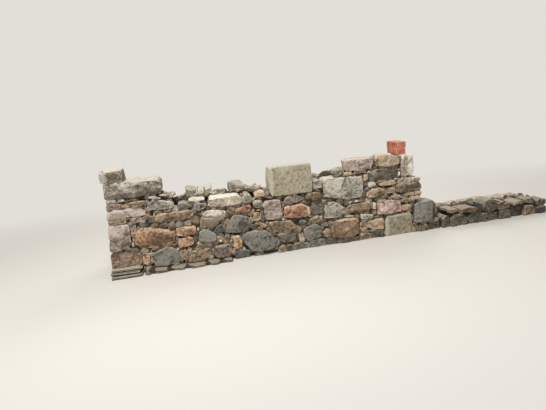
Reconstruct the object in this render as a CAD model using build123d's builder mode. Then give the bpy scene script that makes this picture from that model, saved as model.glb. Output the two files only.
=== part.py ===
"""A dry stone wall: a rebuilt stretch with a low middle, a dark corner block, and the old low run beyond.

The stones are set without mortar. Each leaf is built of face stones that run back to a packed middle, the
hearting. X runs along the wall, +Y is into it, +Z is up. The origin is at the foot, half way along the
rebuilt stretch and in the middle of the wall's thickness.
"""

import os

from build123d import *

os.makedirs("parts", exist_ok=True)

# Driving dimensions, mm
wall_length = 3260.0  # the rebuilt stretch, measured at its foot
end_height = 900.0  # foot to the top of the long stone at the left end
wall_thickness = 450.0
face_depth = 170.0  # how far a face stone runs back, on either face
cap_depth = 250.0  # the larger stones along the top run back over the hearting
granite_depth = 185.0  # the granite block is a thick slab on its edge, and reaches a little over the hearting
joint = 8.0  # open joint between neighbouring stones
wear = 11.0  # width of the worn arris round each face
relief = 6.0  # one step of a stone standing proud of the face, or back from it
footing_reach = 80.0  # the lowest stones on the left stand this far out from the face
brick_length = 215.0
brick_width = 102.5
brick_height = 65.0
brick_setback = 100.0  # from the face to the front end of the loose bricks

# The face is set out on a grid of 326 steps along and 90 steps up, about a centimetre each
along = wall_length / 326
up = end_height / 90

# Levels on that grid which several pieces share
slab_level = 9.2  # top of the thin slabs under the left end
end_bay_level = 61.2  # top of the hearting under the dark cap stone
slip_level = 74  # top of the small stones under the long cap stone
granite_level = 59.4  # foot of the granite block
low_level = 66  # top of the low middle
upright_level = 85  # top of the upright end stone
flat_level = 86.6  # top of the flat cap stone
end_level = 90  # top of the long cap stone
rear_drop = 4.5  # how much lower the rear cap stones lie than the front ones

half_length = wall_length / 2
face = -wall_thickness / 2
hearting_front = face + face_depth
hearting_back = -face - face_depth
rear = -face
cap_back = face + cap_depth


def on_face(outline, bed):
    """Grid points as millimetres. A foot on the bed is lowered so that no joint is left under the stone."""
    lowered = joint if bed else joint / 2
    return [
        (x * along - half_length, z * up - lowered if z == bed else z * up)
        for x, z in outline
    ]


# Stones of the front face: node name, then each stone's outline on the grid and its relief in steps
through_quoins = {
    "quoin_bottom": (
        [(1.4, slab_level), (28.2, slab_level), (29.8, 11.2), (29.5, 20.5), (19, 22.8), (5, 23.6),
         (1.4, 22.4)],
        1,
    ),
    "quoin_lower": (
        [(2.6, 25.6), (11.4, 25.2), (20.3, 26), (23.2, 32), (23.2, 49.6), (4.8, 49.8)],
        2,
    ),
}

face_stones = {
    "quoin_upper_stones": [
        ([(5, 55.8), (5.2, 62), (7, 64), (26, 64.8), (36.5, 64), (40.5, 60.5), (40, 55.8)], 1),
        ([(5.6, 65.4), (5.8, 70.2), (19, 70), (18.4, 66), (12, 65.2)], 0),
    ],
    "slate_block": [
        ([(40.3, 4.8), (52, 4.2), (63.5, 4.3), (65.3, 6.2), (65.2, 16.8), (60.3, 21.2), (54.5, 22.8),
          (47.2, 21.4), (39.8, 18.5)], 0),
    ],
    "shoulder_stone": [
        ([(25.6, 24.2), (27, 35), (30.8, 42.7), (35, 46), (40, 45.5), (60, 41), (64, 39), (64, 33),
          (62.8, 26.4), (57.2, 24.6), (40.8, 22.6)], 3),
    ],
    "ochre_stones": [
        ([(30.6, 8), (34.5, 7.4), (36.8, 9.2), (38.8, 19), (30.6, 20)], 0),
        ([(65.2, 31.5), (65.2, 40.6), (83, 40.2), (84.3, 38), (84, 33), (81.5, 31.2)], 1),
        ([(65.2, 22.2), (66, 29.4), (76, 29.8), (80, 28.5), (81.2, 24), (80, 20.7), (66.2, 20)], 1),
    ],
    "long_brown_stones": [
        ([(48.2, 48), (48, 54), (50, 56.2), (64, 56.8), (76, 57.2), (83, 55.2), (83.8, 51.5), (80, 48),
          (70, 46.2), (56, 46.2)], 1),
        ([(237, 30.4), (236.5, 33.5), (238.5, 38), (241, 40.2), (250, 40.4), (260, 40.4), (265.8, 39.8),
          (266.1, 34), (265.5, 30.8), (256, 30.1), (246, 30)], 2),
    ],
    "grey_stones": [
        ([(41.5, 61), (41.7, 64), (43.2, 68), (49, 70), (57.5, 69), (65, 65.5), (67, 62), (64, 60),
          (56, 59.2), (48, 59.8)], 1),
        ([(84.6, 26.2), (86.2, 33.2), (90.3, 34.8), (96.2, 34), (100.3, 31), (103.4, 28.5), (103.4, 24),
          (102, 21.7), (98, 20.9), (91, 21.5), (85.8, 23.2)], 1),
        ([(214.2, 28.2), (214.1, 36), (215, 45.6), (223, 46.4), (229.5, 43.8), (232.4, 41.2), (235.2, 38),
          (235.5, 31), (234.5, 28.5), (224, 27.6)], 1),
    ],
    "pale_long_stone": [
        ([(98, 58.4), (99.6, 55.4), (107, 54.9), (117.5, 54.8), (129.6, 55.4), (130.6, 58), (130, 63.2),
          (128.4, 65.2), (113, 65.8), (102.6, 66), (99.4, 64)], 2),
    ],
    "white_topped_stone": [
        ([(87, 37.5), (89.2, 45.5), (91.2, 50.5), (95.8, 53.6), (108, 53), (114, 51.5), (114.8, 47),
          (110.5, 41.8), (99, 35.7), (91, 36.4)], 2),
    ],
    "slate_boulder": [
        ([(111.6, 29), (111.9, 34), (120.5, 45.3), (125.5, 45.4), (133.5, 43.2), (138, 40.5), (137.5, 34.5),
          (133.5, 28.2), (127.5, 26.6), (117.2, 27.2), (113.5, 28)], 2),
    ],
    "dark_slate_boulder": [
        ([(127.4, 20.5), (128.2, 24.4), (133.5, 26.6), (143, 26.6), (152, 25.6), (157, 21.2), (161, 16.5),
          (165.3, 10.5), (162, 7), (156, 4.9), (144, 4.9), (136, 5.5), (129.4, 15)], 3),
    ],
    "brown_foot_stones": [
        ([(72.4, 4.6), (73.8, 9.5), (77.5, 15), (83, 15.6), (90, 14), (94.5, 12.8), (96.8, 10), (93, 6.2),
          (88.5, 4.2), (79, 3.8)], 1),
        ([(98.5, 6), (98.5, 13), (100, 16.5), (106, 17), (115, 16.5), (116.8, 13), (116.5, 9), (112, 5),
          (108, 4), (101, 4.2)], 2),
    ],
    "dark_foot_stones": [
        ([(117.4, 6.2), (120, 9), (124.5, 9.6), (130, 9.2), (134.5, 6), (134.5, 2), (133, 0), (120, 0),
          (117.6, 3)], 1),
        ([(163.4, 16.5), (163, 19.2), (170, 19.4), (183, 18.6), (184, 16.5), (182.5, 12),
          (179, 8.8), (168, 9), (166.3, 11.6)], 1),
        ([(190.2, 17.6), (190.5, 20), (195.5, 23.2), (200.5, 24.8), (205.5, 24.3), (210, 19), (210.5, 15),
          (209.2, 10.5), (200, 8.6), (194.8, 8.2), (192.8, 10)], 2),
    ],
    "yellow_stones": [
        ([(117.6, 24.4), (125.4, 24.6), (127.5, 12), (124, 11), (119, 10.7), (118.2, 15)], 2),
        ([(138.9, 36.2), (140.4, 45.5), (147, 45.5), (149, 43), (148.8, 36.4), (145.5, 35.4)], 1),
    ],
    "pink_blocks": [
        ([(151.4, 35.6), (151.4, 52), (153, 55.2), (164, 55.8), (169, 54.5), (169.8, 47),
          (170, 40), (169, 35.6), (160, 34.9)], 1),
        ([(271.4, 39.6), (276, 41.4), (283, 40.2), (298.8, 37.2), (299, 31), (298.3, 26), (290, 24.8),
          (282, 24.8), (272, 25.4), (271.2, 31)], 2),
    ],
    "brown_stones": [
        ([(155.5, 33), (158.3, 25), (160.5, 21.6), (174, 20.3), (181, 22.5), (183.5, 25),
          (178, 32.3), (164, 33.2)], 1),
        ([(293, 46.2), (293, 54), (296, 54.8), (320, 55), (322.6, 52), (323.5, 49),
          (322.5, 45.8), (310, 45.5)], 2),
    ],
    "orange_stone": [
        ([(171.4, 35.8), (171.5, 40), (172.2, 46.6), (176, 47.8), (190, 48.2), (198.2, 43), (198.2, 35.5),
          (193, 34), (176, 34.6)], 2),
    ],
    "orange_foot_block": [
        ([(220.4, 7), (220.2, 16), (220.8, 23.6), (226, 25.6), (238, 26.1), (245, 26.1), (250, 24),
          (251.1, 20), (250.9, 13), (250, 7.5), (244, 5.9), (230, 5.6)], 3),
    ],
    "slate_face_stones": [
        ([(69, 58.8), (70, 63.5), (76, 63.8), (80, 62.3), (83.4, 60.3), (83, 57.7)], 0),
        ([(199.5, 34.8), (199.2, 39), (200, 43), (201, 47.8), (206, 49), (212, 48.3), (212.8, 43),
          (212.5, 35), (206, 34.3)], 0),
        ([(203.9, 60.4), (203.9, 69), (205, 70), (211, 69.8), (212.6, 68), (212.3, 60.7)], 0),
    ],
    "round_topped_boulder": [
        ([(214, 51.6), (213.6, 60), (213.8, 68.6), (218, 70.6), (240, 69.6), (254, 68.4), (256.3, 64),
          (256.6, 52), (255.4, 46), (241, 45.4), (226, 48.4)], 4),
    ],
    "granite_foot_block": [
        ([(280.2, 2), (280.4, 20), (282.5, 22.3), (290, 22.8), (300, 23.2), (309.5, 23.2), (311, 20),
          (311.6, 10), (310.8, 0), (281, 0)], 1),
    ],
    "tan_blocks": [
        ([(260.7, 19.2), (269, 20), (278, 20.2), (279.2, 15), (278.6, 9.4), (270, 8.8), (265, 9.8),
          (261.2, 12)], 0),
        ([(259, 47.5), (260.2, 50.2), (262.5, 52.5), (266, 54), (274, 54.3), (279, 52.8), (279.4, 48),
          (274, 46), (266, 44.6), (260.4, 45.2)], 3),
        ([(272.8, 56.4), (276, 59), (283, 60.2), (291.6, 60.2), (292, 55.6), (290, 54.6), (283, 54.9),
          (277, 55.7)], 1),
    ],
    "pale_end_stones": [
        ([(293.2, 56.2), (294, 60), (298, 61), (309.6, 61), (309.6, 56.2)], 1),
        ([(310.8, 56.3), (310.8, 60), (314, 61), (319, 60.3), (320.8, 57.8), (320, 56.5)], 1),
    ],
    "dark_corner_block": [
        ([(313.2, 11), (313.4, 20), (313.8, 30), (318, 33.2), (326, 33.4), (333, 33.4), (338, 32),
          (341, 29), (344.5, 25), (345.2, 18), (344.2, 10.8), (331, 10.2), (320, 9.8)], 4),
    ],
}

small_stones = {
    "small_stones_left": [
        ([(23.6, 36), (26, 36.5), (30, 45), (30, 48), (24, 48.8), (23.6, 43)], 0),
        ([(5, 50.9), (22, 50.9), (22, 54.6), (5, 54.8)], 0),
        ([(24, 50.2), (31, 49.6), (38.5, 49.3), (39.2, 53.8), (32, 54.4), (24.4, 54.2)], -1),
        ([(40.4, 48), (40.6, 53), (42, 55), (46.4, 54.8), (46.9, 48.2)], 0),
        ([(19.6, 66.2), (20.6, 69), (26, 70.2), (35, 71.2), (41.2, 70.2), (40.8, 66.8), (37, 65.3),
          (25, 65.9)], 1),
        ([(7, 71.3), (15.5, 71.1), (15.5, 74), (7, 74)], 0),
        ([(17, 71.2), (23.5, 71.4), (23.5, 73.6), (17, 73.8)], 1),
        ([(44, 71), (52, 71), (52, 73.4), (44, 73.4)], 0),
        ([(66.4, 6.5), (70.8, 6), (72.2, 10), (73.5, 14), (72, 18.4), (66.5, 17.2)], 0),
    ],
    "small_stones_middle": [
        ([(80.9, 18.3), (83, 19.8), (98.2, 19.4), (98.2, 16.5), (95.5, 15), (88, 15.5), (82, 17)], 0),
        ([(102, 31.5), (101.6, 34), (104, 36.3), (106, 37.5), (110, 37.8), (110.2, 30), (106, 29.9)], 0),
        ([(104.7, 24.5), (104.6, 28.6), (110, 28.4), (108.4, 24.5), (106.5, 23)], -1),
        ([(109.6, 22.6), (111, 26.4), (115.8, 26), (116.2, 23.5), (115, 21.2)], 0),
        ([(136, 29.5), (139, 33.8), (143.4, 33.4), (143.6, 28.1), (140, 27.9)], 0),
        ([(138, 0), (138.5, 3), (142, 3.6), (147, 3.6), (149, 1.5), (148, 0)], 0),
        ([(145, 30.5), (147, 33.5), (150.5, 33.5), (153.3, 30), (151.5, 27.6), (147, 28.2)], 1),
        ([(123.2, 48), (124, 51.6), (132, 53.1), (137, 53.8), (139.3, 52), (139.8, 48), (138.5, 46.6),
          (130, 47)], 1),
        ([(140.9, 52.5), (141.5, 56), (144, 57.5), (150, 56.8), (150, 49.5), (145.5, 48.7),
          (141.7, 49.7)], 2),
        ([(132.2, 56), (131.8, 62), (134, 64.5), (140, 64), (142, 59), (138.5, 55.6)], 1),
        ([(85, 55.6), (84.7, 61), (86, 62.1), (96.5, 61.1), (96.5, 57), (94, 55), (89, 54)], 1),
        ([(78, 64.8), (86, 66.8), (95, 65.8), (96.8, 63.6), (88, 63.3), (83, 63.6)], 1),
        ([(144, 60), (143.6, 63), (148, 65.5), (153.4, 66), (154.2, 62), (154, 59.8)], 1),
        ([(185.3, 9), (185.4, 16.5), (187.2, 17.2), (190.2, 13), (191.3, 9.5), (189, 7.5)], 0),
        ([(186, 27.5), (186.8, 30.5), (190, 31.6), (194.5, 30), (194.5, 26.8), (190, 26.2)], 0),
        ([(171.4, 50.4), (173, 55.5), (177, 57.3), (185, 57.3), (190.5, 56), (193.1, 52), (186, 49.9),
          (176, 49.7)], 1),
    ],
    "small_stones_right": [
        ([(196, 27), (197.5, 30.5), (200, 32.3), (206, 32.9), (212.5, 32.3), (212.8, 29), (210, 26.5),
          (203, 25.9)], 1),
        ([(208.9, 22.6), (209.5, 24.6), (216, 25), (218.2, 22.5), (216.8, 19.9), (211.2, 19.9)], 0),
        ([(211.7, 10.5), (211.9, 15), (213.5, 17.8), (216.5, 18.2), (219, 15), (218.9, 10), (215, 9.2)], 0),
        ([(194.5, 51.8), (194.9, 55.5), (198.5, 57.4), (206, 57.8), (211, 56.8), (212.4, 54), (211, 51.4),
          (203, 50.7)], 0),
        ([(252.4, 28.4), (260, 27.8), (266.6, 26.6), (267, 24.5), (266.3, 22.8), (259, 22.3), (254, 22.6),
          (252.4, 24)], 1),
        ([(252.4, 19.4), (259, 19.6), (259.5, 12), (258.8, 8.9), (252.6, 8.9)], 0),
        ([(267.1, 31), (267.3, 39.4), (269.8, 39.2), (270.2, 31.4)], 0),
        ([(268.2, 21.5), (268.2, 23.8), (279, 23.4), (279, 21.5)], -1),
        ([(280.8, 46.8), (280.6, 51.6), (289, 52.8), (291.7, 51), (291.5, 47), (286, 45.6)], 0),
        ([(262, 56.5), (261.7, 60.3), (264, 61), (270, 60.3), (271.4, 59), (270.5, 56.2), (264, 55.4)], 0),
        ([(300, 34.6), (300.2, 38.4), (305, 39.4), (309.4, 38.8), (309.4, 34.8), (305, 34)], 1),
        ([(310.6, 35.9), (310.6, 39.4), (320, 39.4), (321.4, 38.4), (321.4, 35.6)], 1),
        ([(300.1, 25.7), (300.1, 31.6), (306, 32.6), (310.2, 31), (310.2, 25.7)], 0),
        ([(287.5, 41.2), (287.2, 44), (298.6, 43.6), (299.2, 40.5), (294, 39.9)], 0),
        ([(300.5, 40.9), (300.5, 44), (313.2, 44), (313.5, 40.9)], 0),
        ([(314.7, 40.9), (314.7, 44.2), (322.2, 44.2), (322.4, 41.2)], 1),
        ([(257.6, 63), (257.6, 68.6), (261.4, 68.8), (261.6, 64), (260, 62)], 0),
        ([(225.6, 72), (228.5, 77), (234.4, 78), (234.9, 72)], -2),
        ([(236.4, 71), (236.4, 74), (246, 73.4), (246, 70.8)], 0),
        ([(247.2, 70.6), (247.2, 72.9), (262, 72.6), (262, 70.4)], -1),
    ],
    "foot_stones": [
        ([(162, 0), (163, 5.4), (166.6, 7.4), (170.5, 7.2), (171, 0)], 1),
        ([(172, 0), (172.2, 6.4), (176.6, 7.2), (178, 0)], 1),
        ([(179.2, 0), (179, 6.6), (184, 7.4), (193.6, 6.6), (194, 0)], 0),
        ([(195.2, 0), (195.4, 6.6), (200, 7.2), (209, 8.2), (213.4, 7.2), (213.8, 0)], 0),
        ([(215, 0), (215, 7.2), (218.9, 7.4), (228, 4.4), (228.4, 0)], 0),
        ([(229.4, 0), (229.6, 4.4), (244, 4.8), (250, 4.4), (250.4, 0)], 1),
        ([(251.6, 0), (251.6, 7.2), (260, 7.5), (264.8, 6), (265.2, 0)], 1),
        ([(266.4, 0), (266.4, 6.6), (272, 7.4), (278.4, 7.6), (279, 0)], 0),
        ([(314.4, 0), (314.6, 8.2), (317.8, 8.2), (318, 0)], 1),
        ([(319, 0), (319.2, 6.8), (327.6, 7.8), (329, 3), (329, 0)], 2),
        ([(330.6, 0), (330.8, 8.4), (343.6, 8.8), (344, 0)], 0),
    ],
    "old_wall_stones": [
        ([(347, 0), (347, 10), (353, 13.6), (355.8, 8), (356, 0)], 1),
        ([(353, 16), (354, 20), (365, 19.8), (366, 17), (357, 15)], 3),
        ([(357, 0), (357.4, 9), (362, 13), (372, 12), (378, 8), (378.6, 0)], 2),
        ([(367.4, 14), (370, 18.4), (384, 19.6), (391.6, 15.5), (390, 13.8), (378, 13)], 2),
        ([(380, 0), (379.8, 8), (382, 11.8), (392, 12.3), (395, 9), (395, 0)], 1),
        ([(396.4, 11.5), (394.4, 20.5), (399, 24.5), (403, 25.5), (410, 24.5), (414, 22.5), (414.5, 13),
          (406, 10.8)], 4),
        ([(396.4, 0), (396.8, 9.6), (406, 9.4), (415.4, 9.2), (416, 0)], 1),
        ([(416, 11.2), (415.8, 19), (424, 20.4), (430, 18), (431, 11.2)], 0),
        ([(417.4, 0), (417.6, 9.6), (431, 9.6), (432, 0)], 2),
        ([(433, 14), (434, 17.5), (444, 19.5), (447, 18), (445, 14.6)], 4),
        ([(433.4, 0), (433.4, 12), (447.4, 11), (448, 0)], -3),
        ([(449.4, 0), (449.2, 8), (452, 11.6), (462, 11), (464, 5), (464, 0)], 1),
        ([(449.4, 14), (450, 18.5), (460, 20), (463.4, 16), (460, 12.9)], 0),
        ([(465.2, 0), (465.4, 7.6), (472, 8.6), (478.7, 8), (478.7, 0)], 2),
        ([(465, 10), (464.8, 15), (470, 17.5), (478.7, 16), (478.7, 9.8)], 0),
    ],
}

# Stones that reach out past the face along the foot of the left half
footing_stones = [
    [(31.8, 0), (31.8, 6.2), (38.4, 6), (39.4, 0)],
    [(40.4, 0), (40.4, 3.6), (54.6, 3), (55, 0)],
    [(56, 0), (56, 3.1), (70, 3.2), (70.4, 0)],
    [(71.4, 0), (71.4, 3.2), (89.4, 2.8), (89.8, 0)],
    [(90.8, 0), (91, 3.4), (104.6, 2.8), (105, 0)],
    [(106, 0), (106, 2.8), (115.6, 3.2), (116, 0)],
]

# Thin slabs under the left end
base_slabs = [
    [(1, 0), (1, 3.1), (30.4, 3.1), (30.4, 0)],
    [(0, 3.1), (0, 6.2), (29.6, 6.2), (29.6, 3.1)],
    [(1.5, 6.2), (1.5, slab_level), (30, slab_level), (30, 6.2)],
]

# The larger stones along the top: outline, relief in steps, and the degrees by which the left side draws
# in and the top falls towards the stone's tail
cap_stones = {
    "long_cap_stone": (
        [(5.8, 75.2), (30, 74.6), (56.6, 74.4), (58, 79.5), (57, 86), (54.5, 89), (31, end_level),
         (6, end_level)],
        2, 0, 0,
    ),
    "granite_block": (
        [(161, granite_level), (202.4, granite_level), (202.8, 70), (202.4, 86.2), (201.4, 88.6), (174, 89),
         (163, 88.4), (160, 86.6), (158.6, 76), (158.8, 62)],
        3, 0, 6,
    ),
    "flat_cap_stone": (
        [(236, 77), (236.5, 82), (238.5, flat_level), (254, flat_level), (267, 86), (269, 84.8),
         (268.8, 80), (266, 74.5), (256, 73.9), (247, 74.5), (240, 75.2)],
        1, 19, 6,
    ),
    "tan_cap_stone": (
        [(270.2, 76.2), (269.9, 86), (271.5, 88.4), (284, 87.8), (290, 86.2), (295, 84.5), (297.4, 82),
         (297.6, 77), (296.4, 75.8), (285, 75.3)],
        3, 22, 3,
    ),
    "dark_cap_stone": (
        [(262.8, 66), (263.2, 70.3), (269, 72.8), (272, 73.9), (280, 74.1), (290, 74.2), (296, 74),
         (295.6, 65), (293, 62.2), (283, 61.6), (264, 62.4)],
        1, 0, 0,
    ),
    "upright_end_stone": (
        [(298.6, 64), (299.6, 84), (301, upright_level), (311, upright_level), (313.2, 82),
         (313.4, 76), (312.4, 66), (310, 62.9), (300, 62.6)],
        2, 0, 0,
    ),
}

# The packed middle of the wall, one bay after another, and that of the old run by itself
hearting = {
    "hearting": [
        [(1.4, 0), (1.4, slab_level), (30.4, slab_level), (30.4, 0)],
        [(22.4, 25), (30.4, 25), (30.4, 50.4), (22.4, 50.4)],
        [(6, 50.4), (30.4, 50.4), (30.4, slip_level), (6, slip_level)],
        [(30.4, 0), (30.4, slip_level), (57, slip_level), (63, low_level), (63, 0)],
        [(63, 0), (63, low_level), (153.8, low_level), (153.8, 0)],
        [(153.8, 0), (153.8, granite_level), (203.3, granite_level), (203.3, 0)],
        [(203.3, 0), (203.3, low_level), (224, 74), (262, 74), (262, 0)],
        [(262, 0), (262, end_bay_level), (313, end_bay_level), (323, 56), (323, 0)],
    ],
    "old_hearting": [
        [(330, 0), (330, 10), (350, 18), (440, 18), (478.7, 12), (478.7, 0)],
    ],
}

# Courses of the rear face: foot, top, start and end on the grid, and how far in the stones run
rear_courses = {
    "rear_lower_stones": [
        (0, slab_level, 1.4, 31.2, hearting_back),
        (0, 13, 31, 323, hearting_back),
        (13, 25, 31, 323, hearting_back),
        (25, 38, 24, 323, hearting_back),
    ],
    "rear_upper_stones": [
        (38, 50.4, 24, 323, hearting_back),
        (50.4, 61, 6, 316, hearting_back),
        (61, slip_level, 6.5, 52, hearting_back),
        (61, low_level, 203, 224, hearting_back),
        (61, 70, 224, 245, hearting_back),
        (61, slip_level, 245, 262, hearting_back),
        (end_bay_level, slip_level, 262, 313, cap_back),
    ],
    "rear_cap_stones": [
        (slip_level, end_level - rear_drop, 6, 52, cap_back),
        (slip_level, flat_level - rear_drop, 254, 297.6, cap_back),
        (slip_level, upright_level - rear_drop, 298, 313, cap_back),
    ],
    "old_rear_stones": [(0, 9, 331, 478.7, hearting_back), (9, 17, 348, 470, hearting_back)],
}
rear_lengths = (34, 22, 41, 27, 18, 37, 25, 30)
rear_steps = (0, 3, 2, 1)  # how far each rear stone stands proud, in steps of the relief
shortest_rear_stone = 14

# Stones heaped on the low middle: centre along, length, width and height on the grid
heap_stones = [
    (83.5, 10, 14, 9),
    (92.8, 7.6, 12, 8),
    (101, 8, 13, 9),
    (128, 17, 15, 9),
    (150, 7, 12, 6),
]
heap_wear = 15.0  # their arrises are well rounded
heap_setback = 30.0  # behind the middle of the wall

# The loose stone on the left end, from its own foot
loose_start = 2.8
loose_outline = [
    (0.4, 0), (21.8, 0), (22.2, 6), (21.4, 11.4), (18.6, 12.4), (4.6, 12.2), (0.8, 11), (-0.2, 5),
]
loose_depth = 190.0
brick_start = 299.4
brick_turn = 4  # how far the upper brick is turned on the lower, degrees


def drawn(outline, plane, bed=0):
    """A stone's outline as a face on the given plane, less half a joint all round but not on its bed."""
    with BuildSketch(plane, mode=Mode.PRIVATE) as sketch:
        with BuildLine():
            Polyline(*on_face(outline, bed), close=True)
        make_face()
        offset(amount=-joint / 2)
    return sketch.sketch


def wear_arrises(piece):
    """Take the arris off the front of the stone last added, less where it is thin or an edge is short."""
    front = piece.faces(Select.LAST).sort_by(Axis.Y)[0]
    shortest = front.edges().sort_by(SortBy.LENGTH)[0].length
    chamfer(front.edges(), min(wear, shortest * 0.45, front.bounding_box().size.Z / 4))


def draw_in(piece, tail, fall):
    """Draw the left side and the top of a stone in towards its tail, each by its own angle."""
    box = piece.part.bounding_box()
    corner = (box.min.X, face, box.max.Z)
    if tail:
        split(bisect_by=Plane(corner, z_dir=Vector(-1, 0, 0).rotate(Axis.Z, -tail)), keep=Keep.BOTTOM)
    if fall:
        split(bisect_by=Plane(corner, z_dir=Vector(0, 0, 1).rotate(Axis.X, -fall)), keep=Keep.BOTTOM)


def finish(piece, name):
    piece.part.label = name
    export_step(piece.part, f"parts/{name}.step")


for name, (outline, steps) in through_quoins.items():
    with BuildPart() as quoin:
        extrude(drawn(outline, Plane.XZ.offset(-rear), slab_level), amount=wall_thickness + steps * relief)
        wear_arrises(quoin)
    finish(quoin, name)

for name, stones in (face_stones | small_stones).items():
    with BuildPart() as leaf:
        for outline, steps in stones:
            extrude(drawn(outline, Plane.XZ.offset(-hearting_front)), amount=face_depth + steps * relief)
            wear_arrises(leaf)
    finish(leaf, name)

for name, (outline, steps, tail, fall) in cap_stones.items():
    depth = granite_depth if name == "granite_block" else cap_depth
    with BuildPart() as cap:
        extrude(drawn(outline, Plane.XZ.offset(-face - depth), granite_level), amount=depth + steps * relief)
        wear_arrises(cap)
        draw_in(cap, tail, fall)
    finish(cap, name)

with BuildPart() as footing:
    for outline in footing_stones:
        extrude(drawn(outline, Plane.XZ.offset(-hearting_front)), amount=face_depth + footing_reach)
        wear_arrises(footing)
finish(footing, "footing_stones")

with BuildPart() as slabs:
    for step, outline in enumerate(base_slabs):
        reach = face_depth + footing_reach - 2 * step * relief
        extrude(drawn(outline, Plane.XZ.offset(-hearting_front)), amount=reach)
finish(slabs, "base_slabs")

for name, bays in hearting.items():
    with BuildPart() as packing:
        for outline in bays:
            extrude(drawn(outline, Plane.XZ.offset(-hearting_back)), amount=hearting_back - hearting_front)
    finish(packing, name)


def rear_row(foot, top, start, end, first, front):
    """One course of the rear face, from its front plane out to the rear, of long and short stones in turn."""
    left = start
    turn = first
    while left < end:
        right = left + rear_lengths[turn % len(rear_lengths)]
        if right > end - shortest_rear_stone:
            right = end
        outline = [(left, foot), (right, foot), (right, top), (left, top)]
        proud = rear_steps[turn % len(rear_steps)] * relief
        bed = foot if front == cap_back else 0
        extrude(drawn(outline, Plane.XZ.offset(-rear - proud), bed), amount=rear + proud - front)
        left = right
        turn += 1


for name, rows in rear_courses.items():
    with BuildPart() as courses:
        for first, (foot, top, start, end, front) in enumerate(rows):
            rear_row(foot, top, start, end, 3 * first, front)
    finish(courses, name)

low_top = low_level * up - joint / 2
with BuildPart() as heap:
    for x, length, width, height in heap_stones:
        with Locations((x * along - half_length, heap_setback, low_top)):
            Box(length * along, width * along, height * up, align=(Align.CENTER, Align.CENTER, Align.MIN))
            chamfer(edges(Select.LAST).filter_by(Axis.Z), heap_wear)
            chamfer(faces(Select.LAST).sort_by(Axis.Z)[-1].edges(), heap_wear)
finish(heap, "heap_stones")

end_top = end_level * up - joint / 2
with BuildPart() as loose:
    with BuildSketch(Plane.XZ.offset(-face - loose_depth)):
        with BuildLine():
            Polyline(
                *[((loose_start + x) * along - half_length, end_top + z * up) for x, z in loose_outline],
                close=True,
            )
        make_face()
    extrude(amount=loose_depth)
    wear_arrises(loose)
finish(loose, "loose_cap_stone")

brick_foot = upright_level * up - joint / 2
brick_x = brick_start * along - half_length + brick_width / 2
brick_y = face + brick_setback + brick_length / 2
for name, height, turned in (("brick_lower", 0, 0), ("brick_upper", brick_height, brick_turn)):
    with BuildPart() as brick:
        with Locations(Location((brick_x, brick_y, brick_foot + height), (0, 0, turned))):
            Box(brick_width, brick_length, brick_height, align=(Align.CENTER, Align.CENTER, Align.MIN))
    finish(brick, name)
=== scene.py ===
# %% [markdown]
# # A dry stone wall
# The wall is laid without mortar: face stones in front, squared stones behind, and a packed middle between
# them. The construction file gives each stone's place and size as a plain block. Here each block is broken,
# worn and coloured until it looks like field stone, and it keeps its own place.

import math
import random

import bmesh
import bpy
import numpy as np
from mathutils import Matrix, Vector, noise
from mathutils.bvhtree import BVHTree


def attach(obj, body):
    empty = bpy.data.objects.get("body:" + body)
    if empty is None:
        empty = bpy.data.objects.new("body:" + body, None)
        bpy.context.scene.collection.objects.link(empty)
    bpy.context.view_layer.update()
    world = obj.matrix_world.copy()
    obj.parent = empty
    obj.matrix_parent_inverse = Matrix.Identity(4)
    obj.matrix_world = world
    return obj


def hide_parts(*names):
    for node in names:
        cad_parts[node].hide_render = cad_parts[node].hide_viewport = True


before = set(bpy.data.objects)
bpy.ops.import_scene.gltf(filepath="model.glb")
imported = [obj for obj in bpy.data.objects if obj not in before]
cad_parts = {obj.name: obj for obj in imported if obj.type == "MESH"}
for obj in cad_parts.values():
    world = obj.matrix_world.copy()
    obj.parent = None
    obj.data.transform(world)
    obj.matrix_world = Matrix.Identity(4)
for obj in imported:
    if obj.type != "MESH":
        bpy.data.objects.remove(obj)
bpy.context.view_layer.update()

# %% [markdown]
# ## The view
# The picture is taken from about four metres in front of the wall and 1.45 m above its foot, turned a
# little to the right and tipped down. A camera can be placed by eye, but this one was worked out from the
# wall's long lines and from the size of a brick, so that the render lies over the picture. The wall seems
# to climb a little to the right there. It stands level here, and the camera leans instead.

# %% Camera
EYE = (-0.7167, -4.1114, 1.4489)
HEADING = math.radians(10.197)
TIPPED_DOWN = math.radians(13.463)
LEAN = math.radians(5.07)
SENSOR, LENS = 36.0, 27.03  # both in millimetres

camera_data = bpy.data.cameras.new("camera")
camera_data.sensor_width = SENSOR
camera_data.lens = LENS
camera = bpy.data.objects.new("camera", camera_data)
bpy.context.scene.collection.objects.link(camera)
camera.matrix_world = (
    Matrix.Translation(EYE)
    @ Matrix.Rotation(-HEADING, 4, "Z")
    @ Matrix.Rotation(math.pi / 2 - TIPPED_DOWN, 4, "X")
    @ Matrix.Rotation(-LEAN, 4, "Z")
)
bpy.context.scene.camera = camera
print("camera at:", EYE)

# %% [markdown]
# ## Node expressions
# Stone colour is built from many small sums: a little more light on the ridges, a little soil in the
# joints. Such sums can be wired by hand in the shader editor, but a dozen kinds of stone would take a dozen
# such webs. A small class wraps a node's number so that Python's own operators add the Math nodes, and one
# method adds any other node.

# %% Node expressions
class Number:
    """A number that a node gives. Python's operators on it add Math nodes."""

    def __init__(self, graph, socket):
        self.graph = graph
        self.socket = socket

    def maths(self, operation, *values):
        return self.graph.add("ShaderNodeMath", {"operation": operation}, dict(enumerate(values)))

    def __add__(self, other):
        return self.maths("ADD", self, other)

    def __mul__(self, other):
        return self.maths("MULTIPLY", self, other)

    def __sub__(self, other):
        return self.maths("SUBTRACT", self, other)

    def __rsub__(self, other):
        return self.maths("SUBTRACT", other, self)

    __radd__ = __add__
    __rmul__ = __mul__


print("signs that add a node: + - *")

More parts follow.
